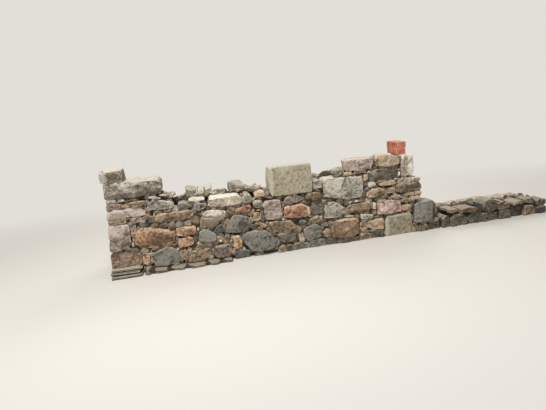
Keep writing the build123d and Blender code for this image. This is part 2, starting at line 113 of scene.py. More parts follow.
# %% Nodes of a material
FED = ("Base Color", "Roughness", "Specular IOR Level", "Normal")


class Graph:
    """The nodes of one material."""

    def __init__(self, name):
        self.material = bpy.data.materials.new(name)
        self.material.use_nodes = True
        self.nodes = self.material.node_tree.nodes
        self.links = self.material.node_tree.links
        self.shader = self.nodes["Principled BSDF"]

    def add(self, kind, settings, inputs, output=0):
        """Add a node: its settings first, then the values or links of its sockets."""
        node = self.nodes.new(kind)
        for name, value in settings.items():
            if name == "stops":
                fill_ramp(node.color_ramp, value)
            else:
                setattr(node, name, value)
        for name, value in inputs.items():
            self.put(node.inputs[name], value)
        return Number(self, node.outputs[output])

    def put(self, socket, value):
        """Link a number to a socket, or give the socket a plain value."""
        if isinstance(value, Number):
            self.links.new(value.socket, socket)
        else:
            socket.default_value = value

    def attribute(self, name, output="Fac"):
        return self.add("ShaderNodeAttribute", {"attribute_name": name}, {}, output)

    def noise(self, place, scale, detail=3.0, rough=0.55, stretch=None):
        if stretch:
            place = self.add("ShaderNodeVectorMath", {"operation": "MULTIPLY"}, {0: place, 1: stretch})
        inputs = {"Vector": place, "Scale": scale, "Detail": detail, "Roughness": rough}
        return self.add("ShaderNodeTexNoise", {}, inputs)

    def step(self, value, low, high):
        """0 below low, 1 above high, and a smooth rise between."""
        settings = {"interpolation_type": "SMOOTHSTEP"}
        return self.add("ShaderNodeMapRange", settings, {"Value": value, "From Min": low, "From Max": high})

    def scaled(self, vector, by):
        return self.add("ShaderNodeVectorMath", {"operation": "SCALE"}, {0: vector, "Scale": by})

    def mix(self, share, under, over, blend="MIX"):
        settings = {"data_type": "RGBA", "blend_type": blend, "clamp_factor": True}
        return self.add("ShaderNodeMix", settings, {0: share, 6: under, 7: over}, 2)

    def ramp(self, stops, at):
        return self.add("ShaderNodeValToRGB", {"stops": stops}, {0: at})

    def facing_up(self):
        """1 where the surface faces the sky, and 0 where it stands upright."""
        normal = self.add("ShaderNodeNewGeometry", {}, {}, "Normal")
        return self.add("ShaderNodeSeparateXYZ", {}, {0: normal}, "Z")

    def finish(self, colour, roughness, gloss, height, depth, strength):
        """Feed the shader its colour, its sheen and a relief that is depth metres deep."""
        relief = self.add("ShaderNodeBump", {}, {"Strength": strength, "Distance": depth, "Height": height})
        for name, value in zip(FED, (colour, roughness, gloss, relief)):
            self.put(self.shader.inputs[name], value)
        return self.material


def fill_ramp(ramp, stops):
    while len(ramp.elements) < len(stops):
        ramp.elements.new(1.0)
    for element, (position, colour) in zip(ramp.elements, stops):
        element.position = position
        element.color = colour


print("sockets that a finish feeds:", *FED)

# %% Colours
def linear(value):
    """One of a paint chart's values, from 0 to 255, as the shader's linear number."""
    share = value / 255
    return ((share + 0.055) / 1.055) ** 2.4 if share > 0.04 else share / 12.92


def paint(red, green, blue):
    """A paint chart's colour, as the shader takes it."""
    return (linear(red), linear(green), linear(blue), 1.0)


print("mid grey is", round(linear(128), 3), "for the shader")

# %% [markdown]
# ## Stone
# Every kind of stone here has the same parts: a deep, a main and a light tone in patches, pale flecks and
# dark pits, which are painted shade where the bump dips, iron stain along some bands, pale dust and painted
# light where it faces the sky, and soil and painted shade where it runs back into a joint. Only the tones
# and amounts differ, so one function makes them all. Images of real stones would show more, but they
# stretch over an edge and repeat, so the patterns here are worked out from noise. They read the stone's own
# "grain" coordinates, which are turned and shifted for each stone, so no pattern runs on from one stone to
# the next.

# %% Tones of each rock
ROCKS = {
    # name: deep, main and light tone, streaks along the bedding, speckle, iron stain
    "ochre": ((112, 88, 67), (171, 137, 106), (217, 187, 156), 0.25, 0.3, 0.22),
    "tan": ((102, 87, 70), (150, 130, 107), (196, 176, 150), 0.3, 0.3, 0.15),
    "orange": ((108, 79, 60), (164, 122, 94), (216, 186, 160), 0.4, 0.3, 0.2),
    "brown": ((80, 69, 58), (126, 109, 91), (170, 151, 130), 0.35, 0.3, 0.1),
    "mauve": ((94, 83, 75), (144, 129, 119), (192, 177, 166), 0.4, 0.3, 0.08),
    "pink": ((120, 93, 83), (168, 137, 125), (218, 198, 188), 0.4, 0.3, 0.06),
    "slate": ((64, 62, 56), (102, 100, 92), (142, 139, 129), 0.8, 0.15, 0.06),
    "shale": ((66, 64, 54), (112, 108, 95), (154, 150, 135), 1.0, 0.15, 0.1),
    "grey": ((94, 90, 80), (146, 140, 127), (194, 188, 174), 0.3, 0.4, 0.05),
    "granite": ((116, 106, 87), (156, 146, 124), (190, 182, 162), 0.05, 0.9, 0.02),
    "pale": ((136, 124, 107), (184, 172, 153), (228, 222, 209), 0.2, 0.35, 0.15),
    "dark": ((46, 43, 38), (80, 75, 66), (114, 108, 98), 0.5, 0.2, 0.1),
}
# Soil in the joints, which also stands for painted shade where the next stone is close
JOINT_SOIL_AND_SHADE = paint(72, 61, 48)
# Pale dust where a stone faces the sky, which also stands for painted light on the tops
DUST_AND_TOP_LIGHT = paint(212, 199, 176)
IRON = paint(142, 94, 60)
EARTH = paint(150, 130, 104)
FRESH_CHIP = paint(206, 198, 182)
# Painted shade in the pits, where the bump dips
PIT_SHADE = paint(62, 55, 46)
print("kinds of rock:", *ROCKS)

# %% Stone materials
def grit_over(g, colour, fine):
    """Fine light and dark grains over a colour."""
    grains = g.mix(g.step(fine, 0.3, 0.7), paint(152, 151, 149), paint(212, 213, 214))
    return g.mix(0.6, colour, grains, "SOFT_LIGHT")


def stone_material(name, deep, main, light, streaks, speckle, iron):
    g = Graph("stone_" + name)
    grain = g.attribute("grain", "Vector")
    patches = g.noise(grain, 11.0, 4.0, 0.62)
    mottle = g.noise(grain, 46.0 + 110.0 * speckle**2, 5.0, 0.72)
    bands = g.noise(grain, 13.0, 3.0, 0.6, stretch=(1.0, 1.0, 6.0))
    chipped = g.noise(grain, 85.0, 2.0, 0.5)
    fine = g.noise(grain, 230.0, 3.0, 0.6)

    # The three tones, with the light one on worn edges and raised ridges, as wear and painted highlight; the
    # shade adds each stone's own tone and its patches, many of them painted light and shade
    blotches = 1.35 - max(1.05 * streaks, 0.8 * speckle)
    clouds = 0.8 - 0.5 * speckle
    steady = 0.5 * (clouds + blotches) + 0.45 * streaks - 0.47
    tone = patches * clouds + mottle * blotches + bands * (0.9 * streaks) - steady
    tone = tone + g.attribute("shade") * 0.16 + g.attribute("worn") * 0.2
    colour = g.ramp([(0.26, paint(*deep)), (0.5, paint(*main)), (0.76, paint(*light))], tone)

    # Earth and iron along the bands, which a speckled stone hardly takes up
    stainable = 1 - speckle**2
    earthy = g.step(patches * 0.5 + bands * 0.5, 0.5, 0.62)
    colour = g.mix(earthy * ((0.1 + 0.6 * iron) * stainable), colour, EARTH)
    stained = g.step(bands * 0.5 + patches * 0.5 + g.attribute("rust") * 0.22, 0.56, 0.76)
    colour = g.mix(stained * ((iron + 0.1) * stainable), colour, IRON)

    # Crystals, grit, fresh chips, and dark pits painted as shade where the bump dips
    crystals = g.add("ShaderNodeTexVoronoi", {}, {"Vector": grain, "Scale": 190.0}, "Color")
    crystals = g.mix(0.75, crystals, g.add("ShaderNodeRGBToBW", {}, {0: crystals}))
    colour = grit_over(g, g.mix(0.4 * speckle, colour, crystals, "SOFT_LIGHT"), fine)
    colour = g.mix(g.step(chipped, 0.64, 0.72) * 0.4, colour, FRESH_CHIP)
    colour = g.mix(g.step(chipped, 0.36, 0.28) * (0.5 - 0.4 * speckle), colour, PIT_SHADE)

    # Pale dust and painted light where the stone faces the sky, and soil and painted shade where the next
    # stone is close
    colour = g.mix(g.step(g.facing_up() + mottle * 0.6, 0.75, 1.3) * 0.4, colour, DUST_AND_TOP_LIGHT)
    soil_and_shade = g.step(g.attribute("joint") + mottle * 0.5 - 0.25, 0.3, 0.95) * 0.85
    colour = g.mix(soil_and_shade, colour, JOINT_SOIL_AND_SHADE)

    roughness = g.step(mottle, 0.1, 0.9) * 0.2 + 0.75
    height = mottle * (0.7 - 0.35 * streaks) + bands * streaks + chipped * 0.25 + fine * 0.25
    return g.finish(colour, roughness, gloss=0.3, height=height, depth=0.011, strength=1.0)


stone = {name: stone_material(name, *tones) for name, tones in ROCKS.items()}
print("stone materials:", len(stone))

# %% [markdown]
# ## Soil and rubble
# The middle of the wall is a mass of small stones with soil between them. Each could be modelled, at a high
# cost in faces. It shows only in the joints and on the low top, so its small stones are the cells of a
# Voronoi pattern in the material, and only its lumps are shape.

# %% Soil material
CELLS = 46.0  # small stones in a metre, about


def soil_material():
    g = Graph("soil_and_rubble")
    place = g.add("ShaderNodeTexCoord", {}, {}, "Object")
    lumps = g.noise(place, 26.0, 5.0, 0.65)
    fine = g.noise(place, 240.0, 3.0, 0.6)
    jumbled = g.add("ShaderNodeVectorMath", {"operation": "ADD"}, {0: place, 1: g.scaled(place, lumps)})
    packed = {"Vector": jumbled, "Scale": CELLS}
    cells = g.add("ShaderNodeTexVoronoi", {}, packed, "Color")
    edges = g.add("ShaderNodeTexVoronoi", {"feature": "DISTANCE_TO_EDGE"}, packed)
    pick = g.add("ShaderNodeSeparateColor", {}, {0: cells}, "Red")
    browns = [(0.0, paint(78, 68, 54)), (0.35, paint(108, 95, 78))]
    greys = [(0.6, paint(104, 99, 89)), (1.0, paint(146, 134, 115))]
    small_stones = g.ramp(browns + greys, pick)
    soil = g.mix(g.step(lumps, 0.35, 0.65), paint(72, 62, 49), paint(112, 98, 79))
    inside = g.step(edges, 0.04, 0.22) * 0.8
    colour = grit_over(g, g.mix(inside, soil, small_stones), fine)
    height = g.step(edges, 0.0, 0.3) * 0.7 + lumps * 0.5 + fine * 0.2
    return g.finish(colour, roughness=0.95, gloss=0.2, height=height, depth=0.008, strength=0.9)


soil_and_rubble = soil_material()
print("nodes in the soil:", len(soil_and_rubble.node_tree.nodes))

# %% [markdown]
# ## Breaking a block
# A mason splits field stone with a hammer, so its face is a few flat scars that meet in blunt edges. The
# block from the construction file is cut by planes that take off a little of its rim and lean its face,
# then it is remeshed and its surface is moved by noise. A sculpted stone would look no better at this size
# and would take far longer to make.

# %% Stones of a node
def stones_of(node):
    """The separate stones of a construction node, each as its own bmesh, from left to right."""
    whole = bmesh.new()
    whole.from_mesh(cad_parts[node].data)
    bmesh.ops.remove_doubles(whole, verts=whole.verts, dist=1e-5)
    bmesh.ops.dissolve_limit(whole, angle_limit=math.radians(1), verts=whole.verts, edges=whole.edges)
    whole.faces.ensure_lookup_table()
    seen = set()
    found = []
    for first in whole.faces:
        if first.index in seen:
            continue
        seen.add(first.index)
        group = [first]
        for face in group:
            for edge in face.edges:
                for other in edge.link_faces:
                    if other.index not in seen:
                        seen.add(other.index)
                        group.append(other)
        kept = {face.index for face in group}
        single = whole.copy()
        bmesh.ops.delete(single, geom=[f for f in single.faces if f.index not in kept], context="FACES")
        found.append(single)
    whole.free()
    return sorted(found, key=lambda s: [round(c, 3) for c in box_of(s)[2]])


def box_of(single):
    """Lowest corner, highest corner and middle of a bmesh."""
    places = np.array([v.co for v in single.verts])
    low, high = places.min(0), places.max(0)
    return low, high, (low + high) / 2


print("stones of slate on the face:", len(stones_of("slate_face_stones")))

# %% Cuts
ARRIS = 0.012  # how deep the worn arris of a block is
ARRIS_LEFT = 0.3  # the share of that depth that stays


def everything(single):
    return [*single.verts, *single.edges, *single.faces]


def cut(single, normal, bite):
    """Take off all that lies within bite of the point that reaches furthest along the normal."""
    normal = normal.normalized()
    reach = max(v.co.dot(normal) for v in single.verts)
    sliced = bmesh.ops.bisect_plane(
        single, geom=everything(single), plane_co=normal * (reach - bite), plane_no=normal, clear_outer=True
    )
    rim = [e for e in sliced["geom_cut"] if isinstance(e, bmesh.types.BMEdge)]
    bmesh.ops.holes_fill(single, edges=rim)


def direction(turn, tilt, front):
    """A direction that leans by tilt from straight out of the face, towards the clock angle turn."""
    out = Vector((0, -front * math.cos(tilt), 0))
    return out + Vector((math.cos(turn), 0, math.sin(turn))) * math.sin(tilt)


def fill_out(single):
    """Bring the back of the worn arris forward, so that the face reaches nearly to the stone's outline."""
    nearest = min(v.co.y for v in single.verts)
    for v in single.verts:
        if v.co.y - nearest < ARRIS:
            v.co.y = nearest + (v.co.y - nearest) * ARRIS_LEFT


print("arris that stays, in mm:", round(1000 * ARRIS * ARRIS_LEFT, 1))

# %% Broken rims
SCAR_TILTS = (2.5, 7)  # how many degrees a scar leans the face
SCAR_BITES = (0.15, 0.4)  # how deep it goes, as a share of what its tilt could take off
RIM_TILTS = (50, 76)
BITES = (0.01, 0.03)  # how deep a cut at the rim goes, as a share of the stone's size
DEEPEST_SCAR, DEEPEST_RIM, DEEPEST_CORNER = 0.009, 0.004, 0.005


def break_rim(single, dice, front, scars, rim, corners):
    """Scars lean the face, rim cuts blunt its edge, and corner cuts take the points off its outline."""
    low, high, _ = box_of(single)
    size = min(high[0] - low[0], high[2] - low[2])
    extent = math.hypot(high[0] - low[0], high[2] - low[2])
    for _ in range(scars):
        tilt = math.radians(dice.uniform(*SCAR_TILTS))
        bite = min(DEEPEST_SCAR, extent * math.sin(tilt) * dice.uniform(*SCAR_BITES))
        cut(single, direction(dice.uniform(0, math.tau), tilt, front), bite)
    start = dice.uniform(0, math.tau)
    for k in range(rim):
        tilt = math.radians(dice.uniform(*RIM_TILTS))
        turn = start + (k + dice.uniform(-0.3, 0.3)) * math.tau / rim
        cut(single, direction(turn, tilt, front), min(DEEPEST_RIM, size * dice.uniform(*BITES)))
    for k in range(corners):
        turn = start + (k + dice.uniform(-0.4, 0.4)) * math.tau / corners
        cut(single, direction(turn, math.pi / 2, front), min(DEEPEST_CORNER, size * dice.uniform(*BITES)))


def break_all_round(single, dice, cuts, least, most):
    """Cut a loose stone from every side but below."""
    low, high, _ = box_of(single)
    size = min(high - low)
    for _ in range(cuts):
        height = dice.uniform(-0.25, 0.95)
        turn = dice.uniform(0, math.tau)
        flat = math.sqrt(1 - height * height)
        normal = Vector((math.cos(turn) * flat, math.sin(turn) * flat, height))
        cut(single, normal, size * dice.uniform(least, most))


print("a scar leans the face by", SCAR_TILTS[0], "to", SCAR_TILTS[1], "degrees")

# %% [markdown]
# ## Remeshing
# A cut block has long thin faces that can't be bent. Blender's voxel remesh gives it an even skin of small
# squares, and a little smoothing takes the saw marks off. What lies deep in the wall never shows, so before
# the remesh the hidden end of a stone is drawn short and narrow, and afterwards it is pulled out to its
# real size: it keeps its place but gets a tenth of the faces.

# %% Hidden ends
DEEP = 0.04  # beyond this depth behind its face a stone is hidden
SQUEEZE = 0.2  # how long the hidden end is drawn, as a share of its real length
TAPER = 0.55  # by what share its tail is drawn narrow


class Hidden:
    """The hidden end of a stone, which can be drawn short and narrow and pulled out again."""

    def __init__(self, single, front):
        low, high, self.middle = box_of(single)
        self.front = front
        self.edge = low[1] if front > 0 else high[1]
        self.length = high[1] - low[1] - DEEP
        plane = (0, self.edge + front * DEEP, 0)
        bmesh.ops.bisect_plane(single, geom=everything(single), plane_co=plane, plane_no=(0, 1, 0))
        places = np.array([v.co for v in single.verts])
        self.change(places, SQUEEZE, 1)
        for v, place in zip(single.verts, places):
            v.co = place

    def change(self, places, share, drawn):
        """Bring the hidden end nearer by a share. Drawn is 1 to make it narrow and -1 to widen it again."""
        depth = self.front * (places[:, 1] - self.edge)
        beyond = np.maximum(depth - DEEP, 0)
        whole_length = self.length if drawn > 0 else self.length * SQUEEZE
        narrow = (1 - TAPER * np.minimum(beyond / whole_length, 1)) ** drawn
        for axis in (0, 2):
            places[:, axis] = self.middle[axis] + (places[:, axis] - self.middle[axis]) * narrow
        places[:, 1] = self.edge + self.front * (np.minimum(depth, DEEP) + beyond * share)

    def pull_out(self, skin):
        places = read(skin)
        self.change(places, 1 / SQUEEZE, -1)
        write(skin, places)


print("a stone keeps its form for", round(1000 * DEEP), "mm behind its face")

# %% Even skins
SMOOTHED = 0.3  # how far a point moves towards the middle of its neighbours


def new_object(name, mesh):
    made = bpy.data.objects.new(name, mesh)
    bpy.context.scene.collection.objects.link(made)
    return made


def even_skins(blocks):
    """Remesh (bmesh, voxel size) pairs and return plain meshes in the same order."""
    objects = []
    for single, voxel in blocks:
        mesh = bpy.data.meshes.new("block")
        single.to_mesh(mesh)
        single.free()
        block = new_object("block", mesh)
        if voxel:
            remesh = block.modifiers.new("skin", "REMESH")
            remesh.mode = "VOXEL"
            remesh.voxel_size = voxel
            smooth = block.modifiers.new("smooth", "SMOOTH")
            smooth.iterations = 1
            smooth.factor = SMOOTHED
        objects.append(block)
    graph = bpy.context.evaluated_depsgraph_get()
    skins = [bpy.data.meshes.new_from_object(block.evaluated_get(graph)) for block in objects]
    for block in objects:
        old = block.data
        bpy.data.objects.remove(block)
        bpy.data.meshes.remove(old)
    return skins


print("smoothing of a skin:", SMOOTHED)

# %% Reading and writing a mesh
def read(mesh, what="co"):
    """The places or normals of a mesh's points, one row each."""
    values = np.empty(len(mesh.vertices) * 3, np.float32)
    if what == "co":
        mesh.vertices.foreach_get("co", values)
    else:
        mesh.vertex_normals.foreach_get("vector", values)
    return values.reshape(-1, 3).astype(float)


def write(mesh, places):
    mesh.vertices.foreach_set("co", places.astype(np.float32).ravel())
    mesh.update()


def keep(mesh, name, values):
    """Keep a number or a vector for each point of a mesh, for its material to read."""
    kind = "FLOAT_VECTOR" if np.ndim(values) == 2 else "FLOAT"
    attribute = mesh.attributes.new(name, kind, "POINT")
    slot = "vector" if kind == "FLOAT_VECTOR" else "value"
    attribute.data.foreach_set(slot, np.asarray(values, np.float32).ravel())


def spread(mesh, values, rounds):
    """Even out one number per point with its neighbours along the edges."""
    ends = np.empty(len(mesh.edges) * 2, np.int32)
    mesh.edges.foreach_get("vertices", ends)
    near, far = ends.reshape(-1, 2).T
    count = np.bincount(ends, minlength=len(values))
    for _ in range(rounds):
        total = np.bincount(near, values[far], len(values)) + np.bincount(far, values[near], len(values))
        values = (values + total) / (1 + count)
    return values


print("corners of the long cap's block:", len(read(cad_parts["long_cap_stone"].data)))

# %% [markdown]
# ## Fitting and joints
# A mason picks each stone to suit its neighbours, so the joints are thin even though no stone is square.
# The blocks have open joints of one width. Here every point on the side of a stone looks straight outwards
# for the next stone, and moves up to half of the way to it. Soil and dust gather in what is left, and the
# material paints the sides there darker, as soil and as painted shade. A Shrinkwrap modifier could do
# something like it, but it takes a point the whole way to its target, and two stones that both do so would
# overlap.

# %% Where the next stone is
THIN_JOINT = 0.0035
MOST_FITTED = 0.011
JOINT_REACH = 0.03
NUDGE = 0.0005  # a second look starts this far beyond the first hit


def tree_of(nodes):
    """What a ray can hit: the blocks of these construction nodes."""
    corners, faces = [], []
    for node in nodes:
        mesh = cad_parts[node].data
        start = len(corners)
        corners += [v.co for v in mesh.vertices]
        faces += [[start + k for k in polygon.vertices] for polygon in mesh.polygons]
    return BVHTree.FromPolygons(corners, faces)


stones_only = [name for name in sorted(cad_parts) if "hearting" not in name]
blocks_tree = tree_of(stones_only)
print("nodes of stones:", len(stones_only))


def next_stone(place, way, most):
    """How far it is from a point to the next stone's block, or None."""
    start, left = place, most
    for _ in range(2):
        hit, outward, _, far = blocks_tree.ray_cast(start, way, left)
        if hit is None:
            return None
        if outward.dot(way) < 0:
            return most - left + far
        start, left = hit + way * NUDGE, left - far
    return None


# %% Fitting
def fit(mesh):
    """Move the sides of a stone towards its neighbours, until a thin joint is left."""
    places, normals = read(mesh), read(mesh, "normal")
    normals[:, 1] = 0
    side = np.linalg.norm(normals, axis=1)
    ways = normals / np.maximum(side, 1e-6)[:, None]
    moves = np.zeros(len(places))
    for k in np.flatnonzero(side > 0.5):
        far = next_stone(Vector(places[k]), Vector(ways[k]), 2 * MOST_FITTED + THIN_JOINT)
        if far is not None:
            moves[k] = max(0, far - THIN_JOINT) / 2
    moves = spread(mesh, moves, 3) * np.clip((side - 0.3) / 0.4, 0, 1)
    write(mesh, places + ways * moves[:, None])


# By this closeness the material darkens a stone's side, as soil and as painted shade
def joints_of(mesh):
    """For each point 1 where another stone is close in front of it, and 0 where none is."""
    places, normals = read(mesh), read(mesh, "normal")
    found = (next_stone(Vector(p), Vector(n), JOINT_REACH) for p, n in zip(places, normals))
    return np.array([0.0 if far is None else 1 - far / JOINT_REACH for far in found])


print("a side moves out by at most", round(1000 * MOST_FITTED), "mm")

# %% [markdown]
# ## Rough surfaces
# Rock breaks by its make-up: slate splits in steps along its bedding, granite crumbles evenly, and most of
# the others break in small flat flakes. Each kind has its own amounts of these moves. A flake is the area
# nearest to one of a few seeds, and leans its own way. Edges wear pale, and raised edges and ridges are
# also painted paler as highlight, so before the moves each point is set against its neighbours to find
# where the stone bulges. A Displace modifier could move the points, but its one texture knows nothing of
# bedding or flakes.

# %% Worn and highlit edges
STONE_ARRIS = 0.0012  # a bulge of this many metres is fully worn, and fully painted as highlight
BRICK_ARRIS = 0.0006


def worn_and_highlit_edges(mesh, full):
    """For each point 1 where the surface bulges by full, as on an arris, and 0 where it is flat or hollow."""
    places, normals = read(mesh), read(mesh, "normal")
    even = np.stack([spread(mesh, places[:, axis], 2) for axis in range(3)], axis=1)
    return np.clip(((places - even) * normals).sum(1) / full, 0, 1)


print("bulge that is fully worn, in mm:", round(1000 * STONE_ARRIS, 1), round(1000 * BRICK_ARRIS, 1))

# %% Roughness of each kind
FORMS = {
    # lump, hackle, lean of a flake, bedding step, all in metres but the lean, and the distance between steps
    "ochre": (0.004, 0.0035, 0.4, 0.0, 0.03),
    "tan": (0.004, 0.0035, 0.36, 0.001, 0.03),
    "orange": (0.004, 0.003, 0.34, 0.0, 0.03),
    "brown": (0.004, 0.004, 0.38, 0.002, 0.03),
    "mauve": (0.004, 0.0032, 0.36, 0.002, 0.03),
    "pink": (0.004, 0.0034, 0.45, 0.0, 0.03),
    "slate": (0.003, 0.0017, 0.15, 0.003, 0.022),
    "shale": (0.003, 0.003, 0.12, 0.008, 0.014),
    "grey": (0.006, 0.0055, 0.42, 0.0, 0.03),
    "granite": (0.002, 0.0012, 0.03, 0.0, 0.03),
    "pale": (0.004, 0.004, 0.36, 0.0, 0.03),
    "dark": (0.005, 0.004, 0.26, 0.003, 0.02),
}
print("most that the flakes of a rock lean:", max(lean for _, _, lean, _, _ in FORMS.values()))

# %% Flakes
FLAKE = 0.06  # usual distance between the seeds of flakes
FLAKE_EDGE = 0.006  # two flakes blend over this width
MOST_MOVED = 0.014


def flakes(places, dice, lean):
    """How far each point stands out because its flake leans."""
    low, high = places.min(0), places.max(0)
    count = int(np.clip(np.prod(np.sort(high - low)[1:]) / FLAKE**2, 3, 40))
    seeds = np.array([[dice.uniform(a, b) for a, b in zip(low, high)] for _ in range(count)])
    leans = np.array([[dice.uniform(-lean, lean) for _ in range(3)] for _ in range(count)])
    away = np.linalg.norm(places[:, None] - seeds[None], axis=2)
    order = np.argsort(away, axis=1)[:, :2]
    rows = np.arange(len(places))
    near, next_near = order[:, 0], order[:, 1]
    heights = [((places - seeds[k]) * leans[k]).sum(1) for k in (near, next_near)]
    gap = np.clip((away[rows, next_near] - away[rows, near]) / FLAKE_EDGE, 0, 1)
    share = 0.5 + 0.5 * gap
    return np.clip(heights[0] * share + heights[1] * (1 - share), -MOST_MOVED, MOST_MOVED)


print("a flake moves a point by at most", round(1000 * MOST_MOVED), "mm")

# %% Rough skins
SIDES_CALMED = 0.85  # by what share the moves are less on a side than on a face
FULL_SIZE = 0.06  # a stone thinner than this moves less
LUMPS, RIDGES, WANDER = 9, 24, 6  # how many of each pattern fit in a metre, about
USUAL_RIDGE = 0.7  # what the ridges are less by, so that a stone keeps its size
ARRIS_WEAR_AND_HIGHLIGHT = 0.9
LOWEST = 0.001  # nothing reaches below this height


def roughen(mesh, rock, dice, bedding, fine_skin):
    """Move the surface as this rock breaks, and keep what its material reads."""
    lump, hackle, lean, ledge, gap = FORMS[rock]
    arrises = worn_and_highlit_edges(mesh, STONE_ARRIS) if fine_skin else 0
    places, normals = read(mesh), read(mesh, "normal")
    small = min(1, min(places.max(0) - places.min(0)) / FULL_SIZE)
    turned = Matrix.Rotation(bedding, 3, "Y") @ Matrix.Rotation(dice.uniform(-0.3, 0.3), 3, "X")
    shift = Vector((dice.uniform(-20, 20), dice.uniform(-20, 20), dice.uniform(-20, 20)))
    grain = places @ np.array(turned).T + np.array(shift)
    rise = flakes(places, dice, lean)
    ridge = np.empty(len(places))
    for k, point in enumerate(grain):
        at = Vector(point)
        ridge[k] = 1 - 2 * abs(noise.fractal(at * RIDGES, 1.0, 2.0, 3))
        rise[k] += lump * noise.noise(at * LUMPS) + hackle * (ridge[k] - USUAL_RIDGE)
        if ledge:
            level = at.z / gap + 0.8 * noise.noise(at * WANDER)
            rise[k] += ledge * (level % 1 - 0.5)
    calm = 1 - SIDES_CALMED * (1 - np.abs(normals[:, 1]))
    places += normals * (rise * small * calm)[:, None]
    places[:, 2] = np.maximum(places[:, 2], LOWEST)
    write(mesh, places)
    keep(mesh, "grain", grain)
    # The ridges rise and the arrises bulge, and both are made paler, partly as wear and partly as painted
    # highlight
    keep(mesh, "worn", ridge + ARRIS_WEAR_AND_HIGHLIGHT * arrises)


print("lumps, ridges and waves in a metre:", LUMPS, RIDGES, WANDER)

# %% [markdown]
# ## Which stone is what
# No two stones of a field wall are alike, so chance can't choose them all. The kinds below were read off
# the picture, stone by stone from left to right, and so were the large flats and the lighter or rustier
# places. Many of those places are painted light along lit tops and edges, and some are painted shade on
# facets that face down. Only the rear, which the picture doesn't show, is left to chance. A plus is a
# lighter stone of its kind, a minus a darker one.

# %% Kinds of stone
KINDS = {
    "quoin_bottom": "brown",
    "quoin_lower": "mauve",
    "quoin_upper_stones": "mauve- mauve++",
    "slate_block": "slate+",
    "shoulder_stone": "ochre-",
    "ochre_stones": "orange ochre ochre-",
    "long_brown_stones": "tan- brown",
    "grey_stones": "grey slate+ grey",
    "pale_long_stone": "pale",
    "white_topped_stone": "pale-",
    "slate_boulder": "slate",
    "dark_slate_boulder": "slate",
    "brown_foot_stones": "brown mauve-",
    "dark_foot_stones": "slate- dark+ slate",
    "yellow_stones": "ochre tan",
    "pink_blocks": "mauve+ pink",
    "brown_stones": "tan- brown-",
    "orange_stone": "orange",
    "orange_foot_block": "tan",
    "slate_face_stones": "slate- dark grey",
    "round_topped_boulder": "grey",
    "granite_foot_block": "granite",
    "tan_blocks": "tan tan+ tan",
    "pale_end_stones": "pale- pale-",
    "dark_corner_block": "slate+",
    "small_stones_left": "mauve brown grey brown tan- mauve- dark+ mauve brown",
    "small_stones_middle": "pale dark grey- slate- dark dark orange- grey- dark slate grey- tan+ orange-"
    " mauve- tan slate",
    "small_stones_right": "tan- tan- slate tan- grey- tan brown tan- tan+ grey grey+ pale dark tan- tan"
    " tan- tan tan tan+ tan",
    "foot_stones": "brown dark slate slate slate- dark tan- dark brown- brown- dark",
    "old_wall_stones": "dark brown- dark brown-- dark slate- dark brown- dark brown- slate-- dark brown- dark"
    " slate--",
    "footing_stones": "slate brown- slate brown- slate- grey--",
    "base_slabs": "shale- shale+ shale-- shale+ shale shale+",
    "long_cap_stone": "grey-",
    "granite_block": "granite",
    "flat_cap_stone": "mauve",
    "tan_cap_stone": "tan+",
    "dark_cap_stone": "slate-",
    "upright_end_stone": "pale-",
    "loose_cap_stone": "grey-",
    "heap_stones": "slate+ pale grey+ slate+ pale",
}
REAR = ("rear_lower_stones", "rear_upper_stones", "rear_cap_stones", "old_rear_stones")
REAR_KINDS = ("brown", "tan", "mauve", "grey", "slate", "dark", "brown", "tan", "slate")
LOOSE = ("loose_cap_stone", "heap_stones")
BEDDING = {"slate_boulder": 40, "dark_slate_boulder": 34, "slate_block": 38}  # in degrees, where it is steep
SOILED = {"old_wall_stones": 0.36, "foot_stones": 0.25, "footing_stones": 0.5, "base_slabs": 0.2}
print("kinds read off the picture:", sum(len(kinds.split()) for kinds in KINDS.values()))

# %% Large flats
FLATS = {
    # for each flat its turn and tilt in degrees, and its bite in metres
    "shoulder_stone": [
        (-98, 17, 0.036), (58, 15, 0.022), (148, 15, 0.016), (74, 64, 0.03), (-150, 66, 0.022),
    ],
    "dark_corner_block": [(5, 24, 0.07)],
    "round_topped_boulder": [
        (125, 40, 0.02), (95, 60, 0.008), (-20, 9, 0.022), (160, 12, 0.02), (-110, 10, 0.018),
    ],
    "dark_slate_boulder": [(40, 9, 0.014)],
    "slate_boulder": [(135, 9, 0.012)],
    "quoin_lower": [(128, 13, 0.02), (-52, 12, 0.02)],
    "quoin_upper_stones 1": [(-90, 14, 0.01), (92, 60, 0.01)],
    "quoin_bottom": [(80, 8, 0.012), (-110, 6, 0.01)],
    "long_cap_stone": [(-62, 17, 0.034), (98, 16, 0.016), (215, 14, 0.026)],
    "grey_stones 2": [(-30, 16, 0.018)],
    "long_brown_stones 0": [(-90, 16, 0.013), (95, 58, 0.012)],
    "long_brown_stones 1": [(-90, 18, 0.012)],
    "pale_long_stone": [(-90, 14, 0.01), (90, 60, 0.012)],
    "white_topped_stone": [(-80, 16, 0.018)],
    "brown_stones 0": [(-90, 16, 0.014)],
    "pink_blocks 1": [(200, 14, 0.014), (60, 12, 0.012)],
    "orange_foot_block": [(-60, 10, 0.014), (95, 62, 0.01), (170, 8, 0.01)],
    "dark_cap_stone": [(180, 24, 0.02)],
    "orange_stone": [(70, 8, 0.008)],
    "loose_cap_stone": [(180, 48, 0.058), (90, 60, 0.01)],
    "granite_block": [(180, 45, 0.009), (90, 55, 0.004)],
    "upright_end_stone": [(0, 25, 0.01)],
}
print("stones with large flats:", len(FLATS))
